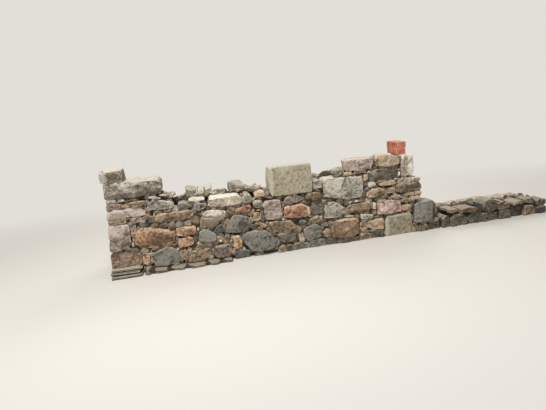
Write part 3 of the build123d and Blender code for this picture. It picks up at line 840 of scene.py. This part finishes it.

# %% Lighter, darker and rustier places, many of them painted light and shade
LEFT_END = -1.63  # left end of the foot, in metres; the tables measure in centimetres from here
# Thin pale strips along tops and lit edges are painted light, and dark patches on facets that face down are
# painted shade; the rest are the stones' own tones and rust
PATCHES = {
    # centre along and up, how far it reaches along and up, then by how much its shade and its rust change
    "shoulder_stone": [
        (52, 28.5, 13, 3.6, -0.5, -1), (43, 32, 7, 6, -0.5, -1), (35, 43, 9, 5, 1.0, 0),
        (56, 39, 12, 3.4, 0.7, 0), (30, 34, 4, 8, 0.6, 0),
    ],
    "long_brown_stones": [
        (66, 48.4, 17, 2.6, -1.2, 0), (80, 54.6, 6, 3, 0.5, 1.6), (252, 31.5, 14, 2, -1.4, 0),
    ],
    "ochre_stones": [(74, 39.5, 9, 2, 0.8, 0.5)],
    "pale_long_stone": [
        (107, 57.4, 7, 2.6, -0.4, 2.4), (112, 65.2, 15, 1.6, 1.5, -1), (110, 60, 22, 7, -0.3, 0.3),
    ],
    "white_topped_stone": [(102, 51.2, 12, 3.6, 2.2, -1), (98, 42, 12, 5, -0.9, 0)],
    "round_topped_boulder": [
        (224, 62, 9, 11, 1.4, -1), (236, 70, 18, 2.4, 1.2, -1), (253, 57, 4, 11, 0.8, 0.8),
        (244, 54, 9, 7, -0.5, 0.4), (236, 60, 24, 18, 0.45, 0.2),
    ],
    "orange_foot_block": [
        (226, 10.5, 9, 6, -1.0, 2.4), (246, 14, 5, 8, 0.0, 2.2), (238, 25.4, 14, 1.6, 1.6, -1),
        (236, 14, 22, 12, -0.45, 0.5),
    ],
    "granite_block": [
        (160.4, 75, 3, 15, 2.2, -1), (181, 88.6, 26, 1.6, 2.2, -1), (168, 66, 12, 6, -0.4, 0),
    ],
    "granite_foot_block": [
        (296, 22.4, 17, 1.8, 2.0, -1), (281.6, 12, 2.4, 13, 1.6, -1), (298, 10, 11, 7, -0.4, 0),
    ],
    "tan_cap_stone": [(283, 86.5, 16, 2.4, 2.2, -1), (270.8, 81, 2.4, 7, -2.4, 0)],
    "flat_cap_stone": [(252, 86.2, 17, 1.6, 1.6, -1), (246, 80, 12, 6, 0.5, 0)],
    "long_cap_stone": [(38, 88.8, 24, 3.0, 1.8, -1), (20, 84, 16, 5, 0.8, 0), (30, 76.6, 26, 2.4, -1.2, 0)],
    "quoin_lower": [(10, 45, 9, 5, 1.3, 0), (17, 29, 7, 4, -1.2, 0)],
    "quoin_bottom": [(14, 14, 24, 9, -0.3, 0)],
    "loose_cap_stone": [
        (5, 96, 5.5, 9, 3.2, -1), (14, 101.8, 14, 1.4, 3.2, -1), (17, 95.4, 9, 5.4, -0.6, 1.4),
    ],
    "pink_blocks": [(280, 31, 4.5, 2.2, 1.6, -1), (160, 37.5, 9, 2.2, -0.8, 0), (160, 45, 14, 14, -0.2, 0)],
    "orange_stone": [
        (184, 46.8, 14, 1.2, 1.0, 0), (184, 41, 18, 9, -0.4, 0), (197, 41, 1.4, 6, 2.0, -1),
        (181, 42, 9, 3, 0.2, 1.0), (184, 37.5, 4, 3, -0.8, 0.6),
    ],
    "small_stones_right": [(207, 54.4, 8, 3, -0.8, 3.2)],
    "slate_boulder": [(118, 40, 5, 7, 0.8, 0), (131, 32, 6, 5, -0.8, 0)],
    "dark_slate_boulder": [
        (140, 24.5, 12, 2.4, 0.8, 0), (150, 10, 10, 5, -0.6, 0), (146, 18, 30, 14, 0.4, 0),
    ],
    "upright_end_stone": [(310, 75, 4.2, 13, 1.6, -1), (301, 72, 2.0, 9, -0.6, 1.2)],
    "small_stones_left": [(23, 69, 5, 3, 0.4, 2.6)],
    "dark_cap_stone": [(267, 67, 4.5, 5, 0.9, 0), (280, 74, 12, 3, 0.6, 0), (279, 71, 20, 10, 0.4, 0.8)],
    "brown_stones": [(308, 50, 20, 7, 0.5, 0)],
}
print("stones with patches:", len(PATCHES))

# %% Patches of a stone
RAGGED, RAGS = 0.5, 28  # how ragged a patch's edge is, and how many rags fit in a metre, about
PATCH_REACH, PATCH_EDGE = 1.15, 0.22  # where a patch ends and how soft its edge is, as shares of its reach


def patched(places, node):
    """How much lighter and rustier each point is, for the patches of its node."""
    lighter, rustier = np.zeros(len(places)), np.zeros(len(places))
    ragged = np.array([noise.noise(Vector(p) * RAGS) for p in places]) * RAGGED
    for along, up, wide, high, shade, rust in PATCHES.get(node, ()):
        across = (places[:, 0] - LEFT_END - along / 100) / (wide / 100)
        over = (places[:, 2] - up / 100) / (high / 100)
        share = np.clip((PATCH_REACH - np.hypot(across, over) + ragged) / PATCH_EDGE, 0, 1)
        lighter += share * shade
        rustier += share * rust
    return lighter, rustier


print("patches in all:", sum(len(rows) for rows in PATCHES.values()))

# %% A stone on its way
NEAR_LEFT_END, NEAR_RIGHT_END, NEAR_OLD_END = -1.55, (1.5, 1.72), 3.13
WORTH_HIDING = 2.5 * DEEP
STEEPEST = 16  # how many degrees the bedding of a stone dips at most, unless it is named above


class Block:
    """One stone on its way from a plain block to a rough skin."""

    def __init__(self, single, name, kind, voxel, front=1, soil_and_shade=0.0):
        self.single = single
        self.name = name
        self.dice = random.Random(name)
        self.rock = kind.rstrip("+-")
        self.shade = kind.count("+") - kind.count("-") + self.dice.uniform(-0.4, 0.4)
        self.rust = self.dice.uniform(-1, 1)
        dip = self.dice.uniform(-STEEPEST, STEEPEST)
        self.bedding = math.radians(BEDDING.get(name.split()[0], dip))
        self.voxel = voxel
        self.front = front
        self.soil_and_shade = soil_and_shade
        self.hidden = None
        self.fitted = False

    def hide_depth(self):
        """Draw the hidden end small, unless the stone shows its side at an end of the wall."""
        low, high, _ = box_of(self.single)
        left, right = low[0], high[0]
        at_right_end = NEAR_RIGHT_END[0] < right < NEAR_RIGHT_END[1]
        at_an_end = left < NEAR_LEFT_END or at_right_end or right > NEAR_OLD_END
        if high[1] - low[1] > WORTH_HIDING and not at_an_end:
            self.hidden = Hidden(self.single, self.front)

    def finish(self, skin):
        if self.hidden:
            self.hidden.pull_out(skin)
        if self.fitted:
            fit(skin)
        roughen(skin, self.rock, self.dice, self.bedding, bool(self.voxel))
        lighter, rustier = patched(read(skin), self.name.split()[0])
        # Each stone's own tone, plus its patches, many of which are painted light and shade
        keep(skin, "shade", self.shade + lighter)
        keep(skin, "rust", self.rust + rustier)
        keep(skin, "joint", joints_of(skin) + self.soil_and_shade)
        skin.materials.append(stone[self.rock])
        if self.voxel:
            skin.shade_smooth()
        else:
            skin.shade_flat()
        return skin


print("stones deeper than", round(1000 * WORTH_HIDING), "mm are drawn short for the remesh")

# %% Slabs at the left foot
SLAB_VOXEL = 0.005
LAP = 0.001  # how much two leaves of a slab share
UP = Vector((0, 0, 1))


def leaves_of(slabs):
    """Each slab split along its bedding into two leaves that don't quite line up."""
    leaves = []
    for k, slab in enumerate(slabs):
        dice = random.Random(f"slab {k}")
        low, high, _ = box_of(slab)
        thick = high[2] - low[2]
        lower = thick * dice.uniform(0.4, 0.6)
        upper = slab.copy()
        cut(slab, UP, thick - lower + LAP)
        cut(upper, -UP, lower + LAP)
        for leaf in (slab, upper):
            cut(leaf, Vector((dice.uniform(-0.2, 0.2), -1, 0)), dice.uniform(0.0, 0.022))
            cut(leaf, Vector((1, dice.uniform(-0.3, 0.3), 0)), dice.uniform(0.0, 0.03))
            leaves.append(leaf)
    return leaves


def slab_block(single, name, kind):
    block = Block(single, name, kind, SLAB_VOXEL, soil_and_shade=SOILED["base_slabs"])
    break_rim(single, block.dice, front=1, scars=0, rim=6, corners=0)
    return block


print("slabs before they are split:", len(stones_of("base_slabs")))

# %% Stones of the rear
REAR_VOXEL = 0.013


def rear_block(single, name):
    kind = random.Random(name + " kind").choice(REAR_KINDS)
    block = Block(single, name, kind, REAR_VOXEL, front=-1)
    break_rim(single, block.dice, front=-1, scars=1, rim=5, corners=4)
    block.hide_depth()
    return block


print("squares of a skin at the rear, in mm:", round(1000 * REAR_VOXEL))

# %% Loose stones on the top
LOOSE_VOXEL = 0.006
LOOSE_BITE = {"loose_cap_stone": 0.1, "heap_stones": 0.22}  # deepest cut, as a share of the stone's size


def cut_flats(single, name, node):
    for turn, tilt, bite in FLATS.get(name, FLATS.get(node, ())):
        cut(single, direction(math.radians(turn), math.radians(tilt), 1), bite)


def loose_block(single, name, kind, node):
    """A stone that lies on the wall. Those of the heap get a sloping top."""
    block = Block(single, name, kind, LOOSE_VOXEL)
    cut_flats(single, name, node)
    if node == "heap_stones":
        cut(single, Vector((block.dice.choice((-1, 1)) * 0.35, -0.35, 1)), 0.035)
    break_all_round(single, block.dice, 7, 0.02, LOOSE_BITE[node])
    return block


print("loose stones:", sum(len(stones_of(node)) for node in LOOSE))

# %% Stones of the face
FRONT_VOXEL = 0.0058
SMALL = 0.08  # a lower or narrower stone than this gets fewer scars


def round_footing(single, dice):
    """Footing stones stand out at the foot, so their tops slope and their outline is broken."""
    for lean in (-0.35, 0.35):
        top = Vector((lean + dice.uniform(-0.3, 0.3), dice.uniform(-0.9, -0.2), 1))
        cut(single, top, dice.uniform(0.005, 0.02))
    for turn in (200, 245, 295, 340):
        edge = math.radians(turn + dice.uniform(-15, 15))
        rake = dice.uniform(0.1, 0.8)
        cut(single, Vector((math.cos(edge), math.sin(edge), rake)), dice.uniform(0.006, 0.03))


def face_block(single, name, kind, node):
    low, high, _ = box_of(single)
    small = min(high[0] - low[0], high[2] - low[2]) < SMALL
    block = Block(single, name, kind, FRONT_VOXEL, soil_and_shade=SOILED.get(node, 0.0))
    fill_out(single)
    cut_flats(single, name, node)
    if node == "footing_stones":
        round_footing(single, block.dice)
    scars = 0 if node == "granite_block" else block.dice.choice((2, 3))
    if small:
        break_rim(single, block.dice, front=1, scars=1, rim=3, corners=2)
    else:
        break_rim(single, block.dice, front=1, scars=scars, rim=4, corners=2)
    block.hide_depth()
    block.fitted = True
    return block


print("squares of a skin on the face, in mm:", round(1000 * FRONT_VOXEL, 1))

# %% Blocks of every node
def blocks_of(node):
    """The broken blocks of one construction node."""
    singles = stones_of(node)
    if node == "base_slabs":
        singles = leaves_of(singles)
    named = [(single, f"{node} {k}") for k, single in enumerate(singles)]
    if node in REAR:
        return [rear_block(single, name) for single, name in named]
    kinds = KINDS[node].split()
    if node == "base_slabs":
        return [slab_block(single, name, kind) for (single, name), kind in zip(named, kinds)]
    make = loose_block if node in LOOSE else face_block
    return [make(single, name, kind, node) for (single, name), kind in zip(named, kinds)]


plans = {node: blocks_of(node) for node in [*KINDS, *REAR]}
print("stones:", sum(len(plan) for plan in plans.values()))

# %% [markdown]
# ## Pinnings
# Small stones are pushed into the gaps between the large ones until nothing rocks. They could be scattered
# with a particle system, but pinnings are never scattered: each fills its gap. So every gap in the face is
# looked for with rays, and each that is too wide for the stones beside it gets a chip of its own size. A
# chip is a ball of twenty faces, cut by a few planes, so that hundreds of them stay light.

# %% Chips
CHIP_KINDS = ("tan", "brown", "grey-", "mauve-", "slate", "tan-", "pale-", "brown-", "brown", "dark")
BALL = 0.66  # the ball's radius, so that it still fills its size when the cuts are made
CHIP_CUTS = 6
CHIP_BITES = (0.06, 0.2)  # how deep each cut goes, as a share of the chip's size


def chip(name, place, turned, size, kind, cuts=CHIP_CUTS):
    """A small angular stone, whose size is its length, depth and height."""
    single = bmesh.new()
    bmesh.ops.create_icosphere(single, subdivisions=1, radius=BALL)
    block = Block(single, name, kind, None)
    stretch = Matrix.Diagonal((*size, 1))
    bmesh.ops.transform(single, matrix=Matrix.Translation(place) @ turned @ stretch, verts=single.verts)
    break_all_round(single, block.dice, cuts, *CHIP_BITES)
    return block


print("cuts of a chip:", CHIP_CUTS)

# %% Gaps in the face
FACE = -0.225  # the front face, across the wall
LOOK_BEHIND = 0.035  # how far behind the face a gap is measured
LOOK_FROM, LOOK_FAR = 0.2, 0.24  # a ray starts this far in front of a point and goes this far
LEAST_GAP = 0.019
WIDEST = 0.1
SIDEWAYS = [Vector((math.cos(a), 0, math.sin(a))) for a in np.linspace(0, math.pi, 6, endpoint=False)]
face_tree = tree_of(n for n in stones_only if n not in REAR and not n.startswith(("brick", "loose", "heap")))


def clear_way(start, way):
    """How far it is to the next stone, up to the widest gap."""
    hit = face_tree.ray_cast(start, way, WIDEST)
    return WIDEST if hit[0] is None else hit[3]


def gap_at(at):
    """A gap's middle, width, length and the way that it runs, or None where there is none."""
    if face_tree.ray_cast(at - Vector((0, LOOK_FROM, 0)), Vector((0, 1, 0)), LOOK_FAR)[0] is not None:
        return None
    ways = [(clear_way(at, way), clear_way(at, -way)) for way in SIDEWAYS]
    if sum(max(pair) >= WIDEST for pair in ways) > 2:
        return None
    widths = [a + b for a, b in ways]
    across = int(np.argmin(widths))
    if widths[across] < LEAST_GAP:
        return None
    along = (across + len(SIDEWAYS) // 2) % len(SIDEWAYS)
    centre = at + SIDEWAYS[across] * (ways[across][0] - ways[across][1]) / 2
    return centre, widths[across], widths[along], SIDEWAYS[along]


print("ways looked at round a point:", 2 * len(SIDEWAYS))

# %% Pinnings in the gaps
ROWS = np.arange(0.02, 0.86, 0.016)
COLUMNS = np.arange(-1.55, 1.8, 0.018)
JITTER = 0.006
LONGEST, LONGEST_AT_END = 0.07, 0.04
THICK, SET_BACK = 0.05, 0.026
WEDGED = 1.16  # a pinning starts this much wider than its gap, because the cuts take that off


def pinnings():
    """A chip for each gap that is found, row by row and from left to right."""
    dice = random.Random("pinnings")
    made, blocks = [], []
    for z in ROWS:
        for x in COLUMNS:
            shift = dice.uniform(-JITTER, JITTER)
            gap = gap_at(Vector((x + shift, FACE + LOOK_BEHIND, z + dice.uniform(-JITTER, JITTER))))
            if gap is None:
                continue
            centre, width, length, way = gap
            near_an_end = x < -1.5 or (x > 1.5 and z > 0.34)
            length = min(length, LONGEST_AT_END if near_an_end else LONGEST)
            if any((centre - other).length < 0.5 * (length + size) for other, size in made):
                continue
            made.append((centre, length * 0.8))
            centre.y = FACE + SET_BACK + dice.uniform(0.002, 0.014)
            turned = Matrix.Rotation(-math.atan2(way.z, way.x), 4, "Y")
            size = (length + 0.01, THICK, width * WEDGED)
            block = chip(f"pinning {len(made)}", centre, turned, size, dice.choice(CHIP_KINDS))
            block.soil_and_shade = 0.15
            blocks.append(block)
    return blocks


print("points looked at for a gap:", len(ROWS) * len(COLUMNS))

# %% Chips that the picture shows one by one
SINGLE_CHIPS = (
    # centre along and up, length and height, all in centimetres, and kind
    (106.2, 21.2, 3.2, 2.4, "pale+"), (116.5, 19.8, 2.8, 2.2, "pale"), (128, 9.8, 2.6, 2, "pale"),
    (264, 71.5, 3, 1.8, "pale+"), (256, 20.4, 3.4, 1.4, "pale"), (249, 42.8, 5, 1.8, "pale"),
    (241.7, 42.5, 5, 1.8, "pink+"), (241, 27.6, 9, 1.6, "pale"), (276, 60.6, 5, 1.6, "pale-"),
    (293, 60.9, 3.4, 1.8, "pale-"), (297, 66, 1.8, 5, "pale+"), (28.5, 72.5, 7, 1.6, "grey"),
    (51, 71.2, 8, 1.7, "pink"), (57.5, 73.2, 6, 1.7, "pink"), (160, 57.6, 16, 1.5, "dark"),
    (24, 29.5, 2.2, 4, "grey+"), (64.5, 18.6, 2.4, 2.2, "pale"), (86, 35.8, 2.2, 3, "tan+"),
    (170.6, 33.9, 2, 2, "pale+"), (198.5, 33.6, 2.4, 1.8, "grey+"), (213.2, 46.8, 1.6, 4, "pale"),
    (146.5, 47.2, 5, 1.4, "orange"), (62, 58, 4.6, 1.6, "tan"),
)


def single_chips():
    blocks = []
    for k, (along, up, long, high, kind) in enumerate(SINGLE_CHIPS):
        place = Vector((LEFT_END + along / 100, FACE + 0.018, up / 100))
        turned = Matrix.Rotation(random.Random(f"chip {k}").uniform(-0.25, 0.25), 4, "Y")
        blocks.append(chip(f"chip {k}", place, turned, (long / 100, 0.045, high / 100), kind, cuts=4))
    return blocks


print("chips placed one by one:", len(SINGLE_CHIPS))

# %% Chips in the ends
ENDS = (
    # where to look from, which way, lowest and highest row, all in metres
    (-1.8, 1, 0.02, 0.84),
    (1.85, -1, 0.24, 0.8),
    (3.3, -1, 0.02, 0.2),
)
END_ROW, END_COLUMN = 0.034, 0.038
middle_tree = tree_of(["hearting", "old_hearting"])


def end_chips():
    """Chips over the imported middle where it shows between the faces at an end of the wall."""
    dice = random.Random("ends")
    blocks = []
    for start, way, low, high in ENDS:
        inwards = Vector((way, 0, 0))
        for z in np.arange(low, high, END_ROW):
            for y in np.arange(-0.11, 0.16, END_COLUMN):
                at = Vector((start, y + dice.uniform(-0.008, 0.008), z + dice.uniform(-0.006, 0.006)))
                middle = middle_tree.ray_cast(at, inwards, 0.4)[3]
                nearest = blocks_tree.ray_cast(at, inwards, 0.4)[3]
                if middle is None or (nearest is not None and nearest < middle):
                    continue
                at.x += way * (middle - 0.004)
                turned = Matrix.Rotation(dice.uniform(-0.5, 0.5), 4, "X")
                size = (0.04, dice.uniform(0.04, 0.07), dice.uniform(0.03, 0.05))
                blocks.append(chip(f"end {len(blocks)}", at, turned, size, dice.choice(CHIP_KINDS)))
    return blocks


plans["joint_pinnings"] = pinnings() + single_chips() + end_chips()
print("pinnings:", len(plans["joint_pinnings"]))

# %% [markdown]
# ## Rubble on the low top
# Where the wall is low its middle lies open: broken stone of every size, thrown in and not yet covered. A
# physics run could let the pieces fall. They are the same chips as in the joints, laid in beds by chance,
# which looks the same from a step away and gives the same heap each time.

# %% Rubble
RUBBLE_BEDS = (
    # start and end along the wall, front and back across it, height of the bed, how many stones
    (-1.02, -0.1, -0.1, 0.06, 0.655, 74),
    (-1.04, 0.0, 0.06, 0.2, 0.604, 60),
    (-0.08, 0.4, -0.02, 0.19, 0.592, 36),
    (0.42, 0.7, -0.07, 0.19, 0.675, 34),
    (0.6, 0.86, -0.02, 0.19, 0.7, 26),
    (-1.1, -0.98, -0.12, 0.06, 0.69, 22),
    (1.74, 3.1, -0.06, 0.06, 0.165, 60),
)
OLD_START, OLD_SOIL = 1.7, 0.3  # the old run begins here, and lies deeper in soil


def rubble():
    blocks = []
    for bed, (start, end, near, back, height, count) in enumerate(RUBBLE_BEDS):
        dice = random.Random(f"bed {bed}")
        for k in range(count):
            long = dice.triangular(0.022, 0.1, 0.035)
            size = (long, long * dice.uniform(0.6, 0.95), long * dice.uniform(0.4, 0.7))
            place = Vector((dice.uniform(start, end), dice.uniform(near, back), height + long * 0.14))
            turned = Matrix.Rotation(dice.uniform(0, math.tau), 4, "Z")
            turned = turned @ Matrix.Rotation(dice.uniform(-0.5, 0.5), 4, "X")
            block = chip(f"rubble {bed} {k}", place, turned, size, dice.choice(CHIP_KINDS))
            block.soil_and_shade = dice.uniform(0.1, 0.5) + (OLD_SOIL if start > OLD_START else 0.0)
            blocks.append(block)
    return blocks


plans["rubble_on_top"] = rubble()
print("rubble:", len(plans["rubble_on_top"]))

# %% [markdown]
# ## From blocks to stones
# All blocks get their skins in one go, because Blender works out the modifiers of a whole scene at once.
# Stone by stone it would do so again each time, which is far slower. Then each skin is fitted, roughened
# and given its stone, and the skins of one construction node are joined to one piece.

# %% Stones made
ROOT = "root"
skins = iter(even_skins([(block.single, block.voxel) for plan in plans.values() for block in plan]))
pieces = {}


def join(name, meshes):
    """One object of one or several meshes, which keeps their materials and kept numbers."""
    if len(meshes) == 1:
        return new_object(name, meshes[0])
    parts = [new_object(name + "_part", mesh) for mesh in meshes]
    with bpy.context.temp_override(active_object=parts[0], selected_editable_objects=parts):
        bpy.ops.object.join()
    parts[0].name = name
    parts[0].data.name = name
    return parts[0]


def triangles(piece):
    return sum(len(polygon.vertices) - 2 for polygon in piece.data.polygons)


def settle(piece, node):
    """Say what moves a piece and which construction node it stands for, and hide that node's block."""
    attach(piece, ROOT)
    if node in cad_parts:
        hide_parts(node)
    pieces[node] = piece


for node, plan in plans.items():
    made = [block.finish(next(skins)) for block in plan]
    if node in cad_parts:
        settle(join(node + "_rough", made), node)
    else:
        settle(join(node, made), node)
print("triangles of the stones:", sum(triangles(piece) for piece in pieces.values()))
print("most in one piece:", max((triangles(piece), node) for node, piece in pieces.items()))

# %% [markdown]
# ## Packing
# Behind the pinnings the joints are full of soil and chips. Filling each joint by itself would be slow, so
# one sheet of soil stands a finger's depth behind the face, as high as the stones do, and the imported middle
# gets the same finish.

# %% Sheets of packing
PACKED_OUTLINE = (
    # along and up, in metres from the left end of the foot
    (0.035, 0.0), (0.045, 0.3), (0.068, 0.745), (0.56, 0.75), (0.62, 0.66), (0.66, 0.615), (1.545, 0.61),
    (1.6, 0.595), (2.03, 0.595), (2.05, 0.66), (2.13, 0.665), (2.2, 0.665), (2.55, 0.665), (2.6, 0.745),
    (2.66, 0.8), (3.1, 0.8), (3.1, 0.58), (3.19, 0.54), (3.2, 0.33), (3.4, 0.28), (3.42, 0.085), (3.5, 0.12),
    (3.95, 0.15), (4.1, 0.22), (4.35, 0.15), (4.75, 0.12), (4.77, 0.0),
)
FOOTING_OUTLINE = ((0.315, 0.0), (0.32, 0.045), (0.39, 0.044), (0.42, 0.021), (1.15, 0.02), (1.162, 0.0))


def packing_skin(outline, near, back):
    """A flat sheet with this outline, from near to back across the wall."""
    sheet = bmesh.new()
    rim = [sheet.verts.new((LEFT_END + x, near, z)) for x, z in outline]
    face = sheet.faces.new(rim)
    thick = bmesh.ops.extrude_face_region(sheet, geom=[face])
    moved = [g for g in thick["geom"] if isinstance(g, bmesh.types.BMVert)]
    bmesh.ops.translate(sheet, vec=(0, back - near, 0), verts=moved)
    bmesh.ops.recalc_face_normals(sheet, faces=sheet.faces)
    return sheet


print("corners of the two outlines:", len(PACKED_OUTLINE), len(FOOTING_OUTLINE))

# %% Packing and hearting
PACKING_SET_BACK = 0.032
SHEET_VOXEL, FOOTING_VOXEL, BAY_VOXEL = 0.013, 0.01, 0.02


def lumpy(mesh, lump, scale):
    """Give a skin soft lumps and the finish of soil."""
    places, normals = read(mesh), read(mesh, "normal")
    rise = np.array([lump * noise.fractal(Vector(p) * scale, 0.8, 2.0, 3) for p in places])
    places += normals * rise[:, None]
    places[:, 2] = np.maximum(places[:, 2], LOWEST)
    write(mesh, places)
    mesh.materials.append(soil_and_rubble)
    mesh.shade_smooth()
    return mesh


packing, footing_soil, *bays = even_skins(
    [(packing_skin(PACKED_OUTLINE, FACE + PACKING_SET_BACK, FACE + 0.06), SHEET_VOXEL)]
    + [(packing_skin(FOOTING_OUTLINE, FACE - 0.056, FACE + 0.04), FOOTING_VOXEL)]
    + [(single, BAY_VOXEL) for node in ("hearting", "old_hearting") for single in stones_of(node)]
)
sheets = [lumpy(packing, lump=0.009, scale=22), lumpy(footing_soil, lump=0.008, scale=30)]
settle(join("joint_packing", sheets), "joint_packing")
*middle, old_middle = [lumpy(bay, lump=0.012, scale=16) for bay in bays]
settle(join("hearting_rough", middle), "hearting")
settle(join("old_hearting_rough", [old_middle]), "old_hearting")
print("bays of hearting:", len(bays))

# %% [markdown]
# ## Bricks
# Two loose bricks lie on the right end. A brick is pressed clay: straight, but with soft arrises, a sandy
# skin and darker patches from the kiln. The cutting planes of the stones would make it ragged, so it gets a
# small bevel instead, and the same even skin with much less noise.

# %% Brick material
BRICKS = ("brick_lower", "brick_upper")
BRICK_VOXEL, SOFT_ARRIS, SANDY = 0.0036, 0.004, 0.0012


def brick_material():
    g = Graph("red_brick")
    place = g.add("ShaderNodeTexCoord", {}, {}, "Object")
    clouds = g.noise(place, 14.0, 4.0, 0.6)
    sand = g.noise(place, 320.0, 3.0, 0.7)
    pits = g.add("ShaderNodeTexVoronoi", {}, {"Vector": place, "Scale": 95.0})
    stops = [(0.3, paint(144, 76, 62)), (0.52, paint(186, 108, 88)), (0.75, paint(210, 146, 124))]
    fired = g.ramp(stops, clouds + sand * 0.3 - 0.15)
    # Painted shade in the pits, where the bump dips
    pit_shaded = g.mix(g.step(pits, 0.22, 0.08) * 0.5, fired, paint(96, 46, 38))
    # Pale arrises, partly as wear and partly as painted highlight
    worn = g.mix(g.step(g.attribute("worn"), 0.25, 0.9) * 0.55, pit_shaded, paint(226, 178, 158))
    # Painted light: the brick's top is paler where it faces the sky
    colour = g.mix(g.step(g.facing_up() + clouds * 0.4, 0.7, 1.2) * 0.4, worn, paint(208, 160, 140))
    return g.finish(colour, sand * 0.2 + 0.75, gloss=0.5, height=sand + pits * 0.6, depth=0.003, strength=0.7)


red_brick = brick_material()
print("nodes in the brick:", len(red_brick.node_tree.nodes))

# %% Bricks
brick_blocks = []
for node in BRICKS:
    (single,) = stones_of(node)
    bmesh.ops.bevel(
        single, geom=single.edges[:], offset=SOFT_ARRIS, segments=2, profile=0.5, affect="EDGES", material=-1
    )
    brick_blocks.append((single, BRICK_VOXEL))
for node, mesh in zip(BRICKS, even_skins(brick_blocks)):
    places, normals = read(mesh), read(mesh, "normal")
    rise = np.array([SANDY * noise.fractal(Vector(p) * 60, 0.8, 2.0, 3) for p in places])
    write(mesh, places + normals * rise[:, None])
    keep(mesh, "worn", worn_and_highlit_edges(mesh, BRICK_ARRIS))
    mesh.materials.append(red_brick)
    mesh.shade_smooth()
    settle(new_object(node + "_fired", mesh), node)
print("triangles in all:", sum(triangles(piece) for piece in pieces.values()))

# %% [markdown]
# ## Floor, light and the end
# The wall stands on a plain pale floor under a soft sky, as on a dull day. A floor with an edge, or one of
# another tone than the sky, would draw a line through the picture. So the floor takes the backdrop's own
# colour a few metres away, and only near the wall does it catch light and shade.

# %% Floor
BACKDROP = paint(226, 223, 216)
SHADED_WITHIN, PLAIN_BEYOND = 1.3, 3.6  # from the middle of the floor, in metres
LENGTHWISE = (0.4, 1.0, 1.0)  # the shaded part is longer along the wall than across it
FLOOR_RADIUS = 60.0


def floor_material():
    g = Graph("floor")
    place = g.add("ShaderNodeTexCoord", {}, {}, "Object")
    drawn_in = g.add("ShaderNodeVectorMath", {"operation": "MULTIPLY"}, {0: place, 1: LENGTHWISE})
    away = g.add("ShaderNodeVectorMath", {"operation": "LENGTH"}, {0: drawn_in}, "Value")
    glow = g.add("ShaderNodeEmission", {}, {"Color": BACKDROP})
    g.put(g.shader.inputs["Base Color"], paint(214, 210, 202))
    g.put(g.shader.inputs["Roughness"], 0.9)
    lit = Number(g, g.shader.outputs[0])
    far = g.step(away, SHADED_WITHIN, PLAIN_BEYOND)
    surface = g.add("ShaderNodeMixShader", {}, {0: far, 1: lit, 2: glow})
    g.put(g.nodes["Material Output"].inputs["Surface"], surface)
    return g.material


disc = bmesh.new()
bmesh.ops.create_circle(disc, cap_ends=True, segments=96, radius=FLOOR_RADIUS)
floor_mesh = bpy.data.meshes.new("floor")
disc.to_mesh(floor_mesh)
disc.free()
floor_mesh.materials.append(floor_material())
floor = new_object("floor", floor_mesh)
print("floor faces:", len(floor_mesh.polygons))

# %% Sky
world = bpy.data.worlds.new("sky")
bpy.context.scene.world = world
world.use_nodes = True
sky_nodes, sky_links = world.node_tree.nodes, world.node_tree.links
sky = sky_nodes["Background"]
sky.inputs["Color"].default_value = paint(236, 234, 230)
sky.inputs["Strength"].default_value = 0.55

# What the camera sees of the sky, also in a glossy or clear surface, is the plain backdrop
seen_sky = sky_nodes.new("ShaderNodeBackground")
seen_sky.inputs["Color"].default_value = BACKDROP
seen = sky_nodes.new("ShaderNodeLightPath")
either = sky_nodes.new("ShaderNodeMixShader")
seen_at_all = seen.outputs["Is Camera Ray"]
for other_ray in ("Is Glossy Ray", "Is Transmission Ray"):
    either_ray = sky_nodes.new("ShaderNodeMath")
    either_ray.operation = "MAXIMUM"
    sky_links.new(seen_at_all, either_ray.inputs[0])
    sky_links.new(seen.outputs[other_ray], either_ray.inputs[1])
    seen_at_all = either_ray.outputs[0]
sky_links.new(seen_at_all, either.inputs[0])
sky_links.new(sky.outputs[0], either.inputs[1])
sky_links.new(seen_sky.outputs[0], either.inputs[2])
sky_links.new(either.outputs[0], sky_nodes["World Output"].inputs["Surface"])
print("strength of the sky:", round(sky.inputs["Strength"].default_value, 2))

# %% Lamps
WALL_MIDDLE = (0.8, 0, 0.3)


def lamp(name, size, power, place, target):
    """A square lamp at a place, turned towards its target."""
    data = bpy.data.lights.new(name, "AREA")
    data.shape = "SQUARE"
    data.size = size
    data.energy = power
    light = bpy.data.objects.new(name, data)
    bpy.context.scene.collection.objects.link(light)
    light.location = place
    light.rotation_euler = (Vector(target) - Vector(place)).to_track_quat("-Z", "Y").to_euler()


lamp("softbox", size=2.2, power=330.0, place=(-1.4, -2.7, 5.6), target=WALL_MIDDLE)
lamp("back_light", size=4.0, power=110.0, place=(2.5, 4.0, 4.5), target=WALL_MIDDLE)
bpy.context.scene.view_settings.view_transform = "Standard"
print("lamps:", *(light.name for light in bpy.data.lights))
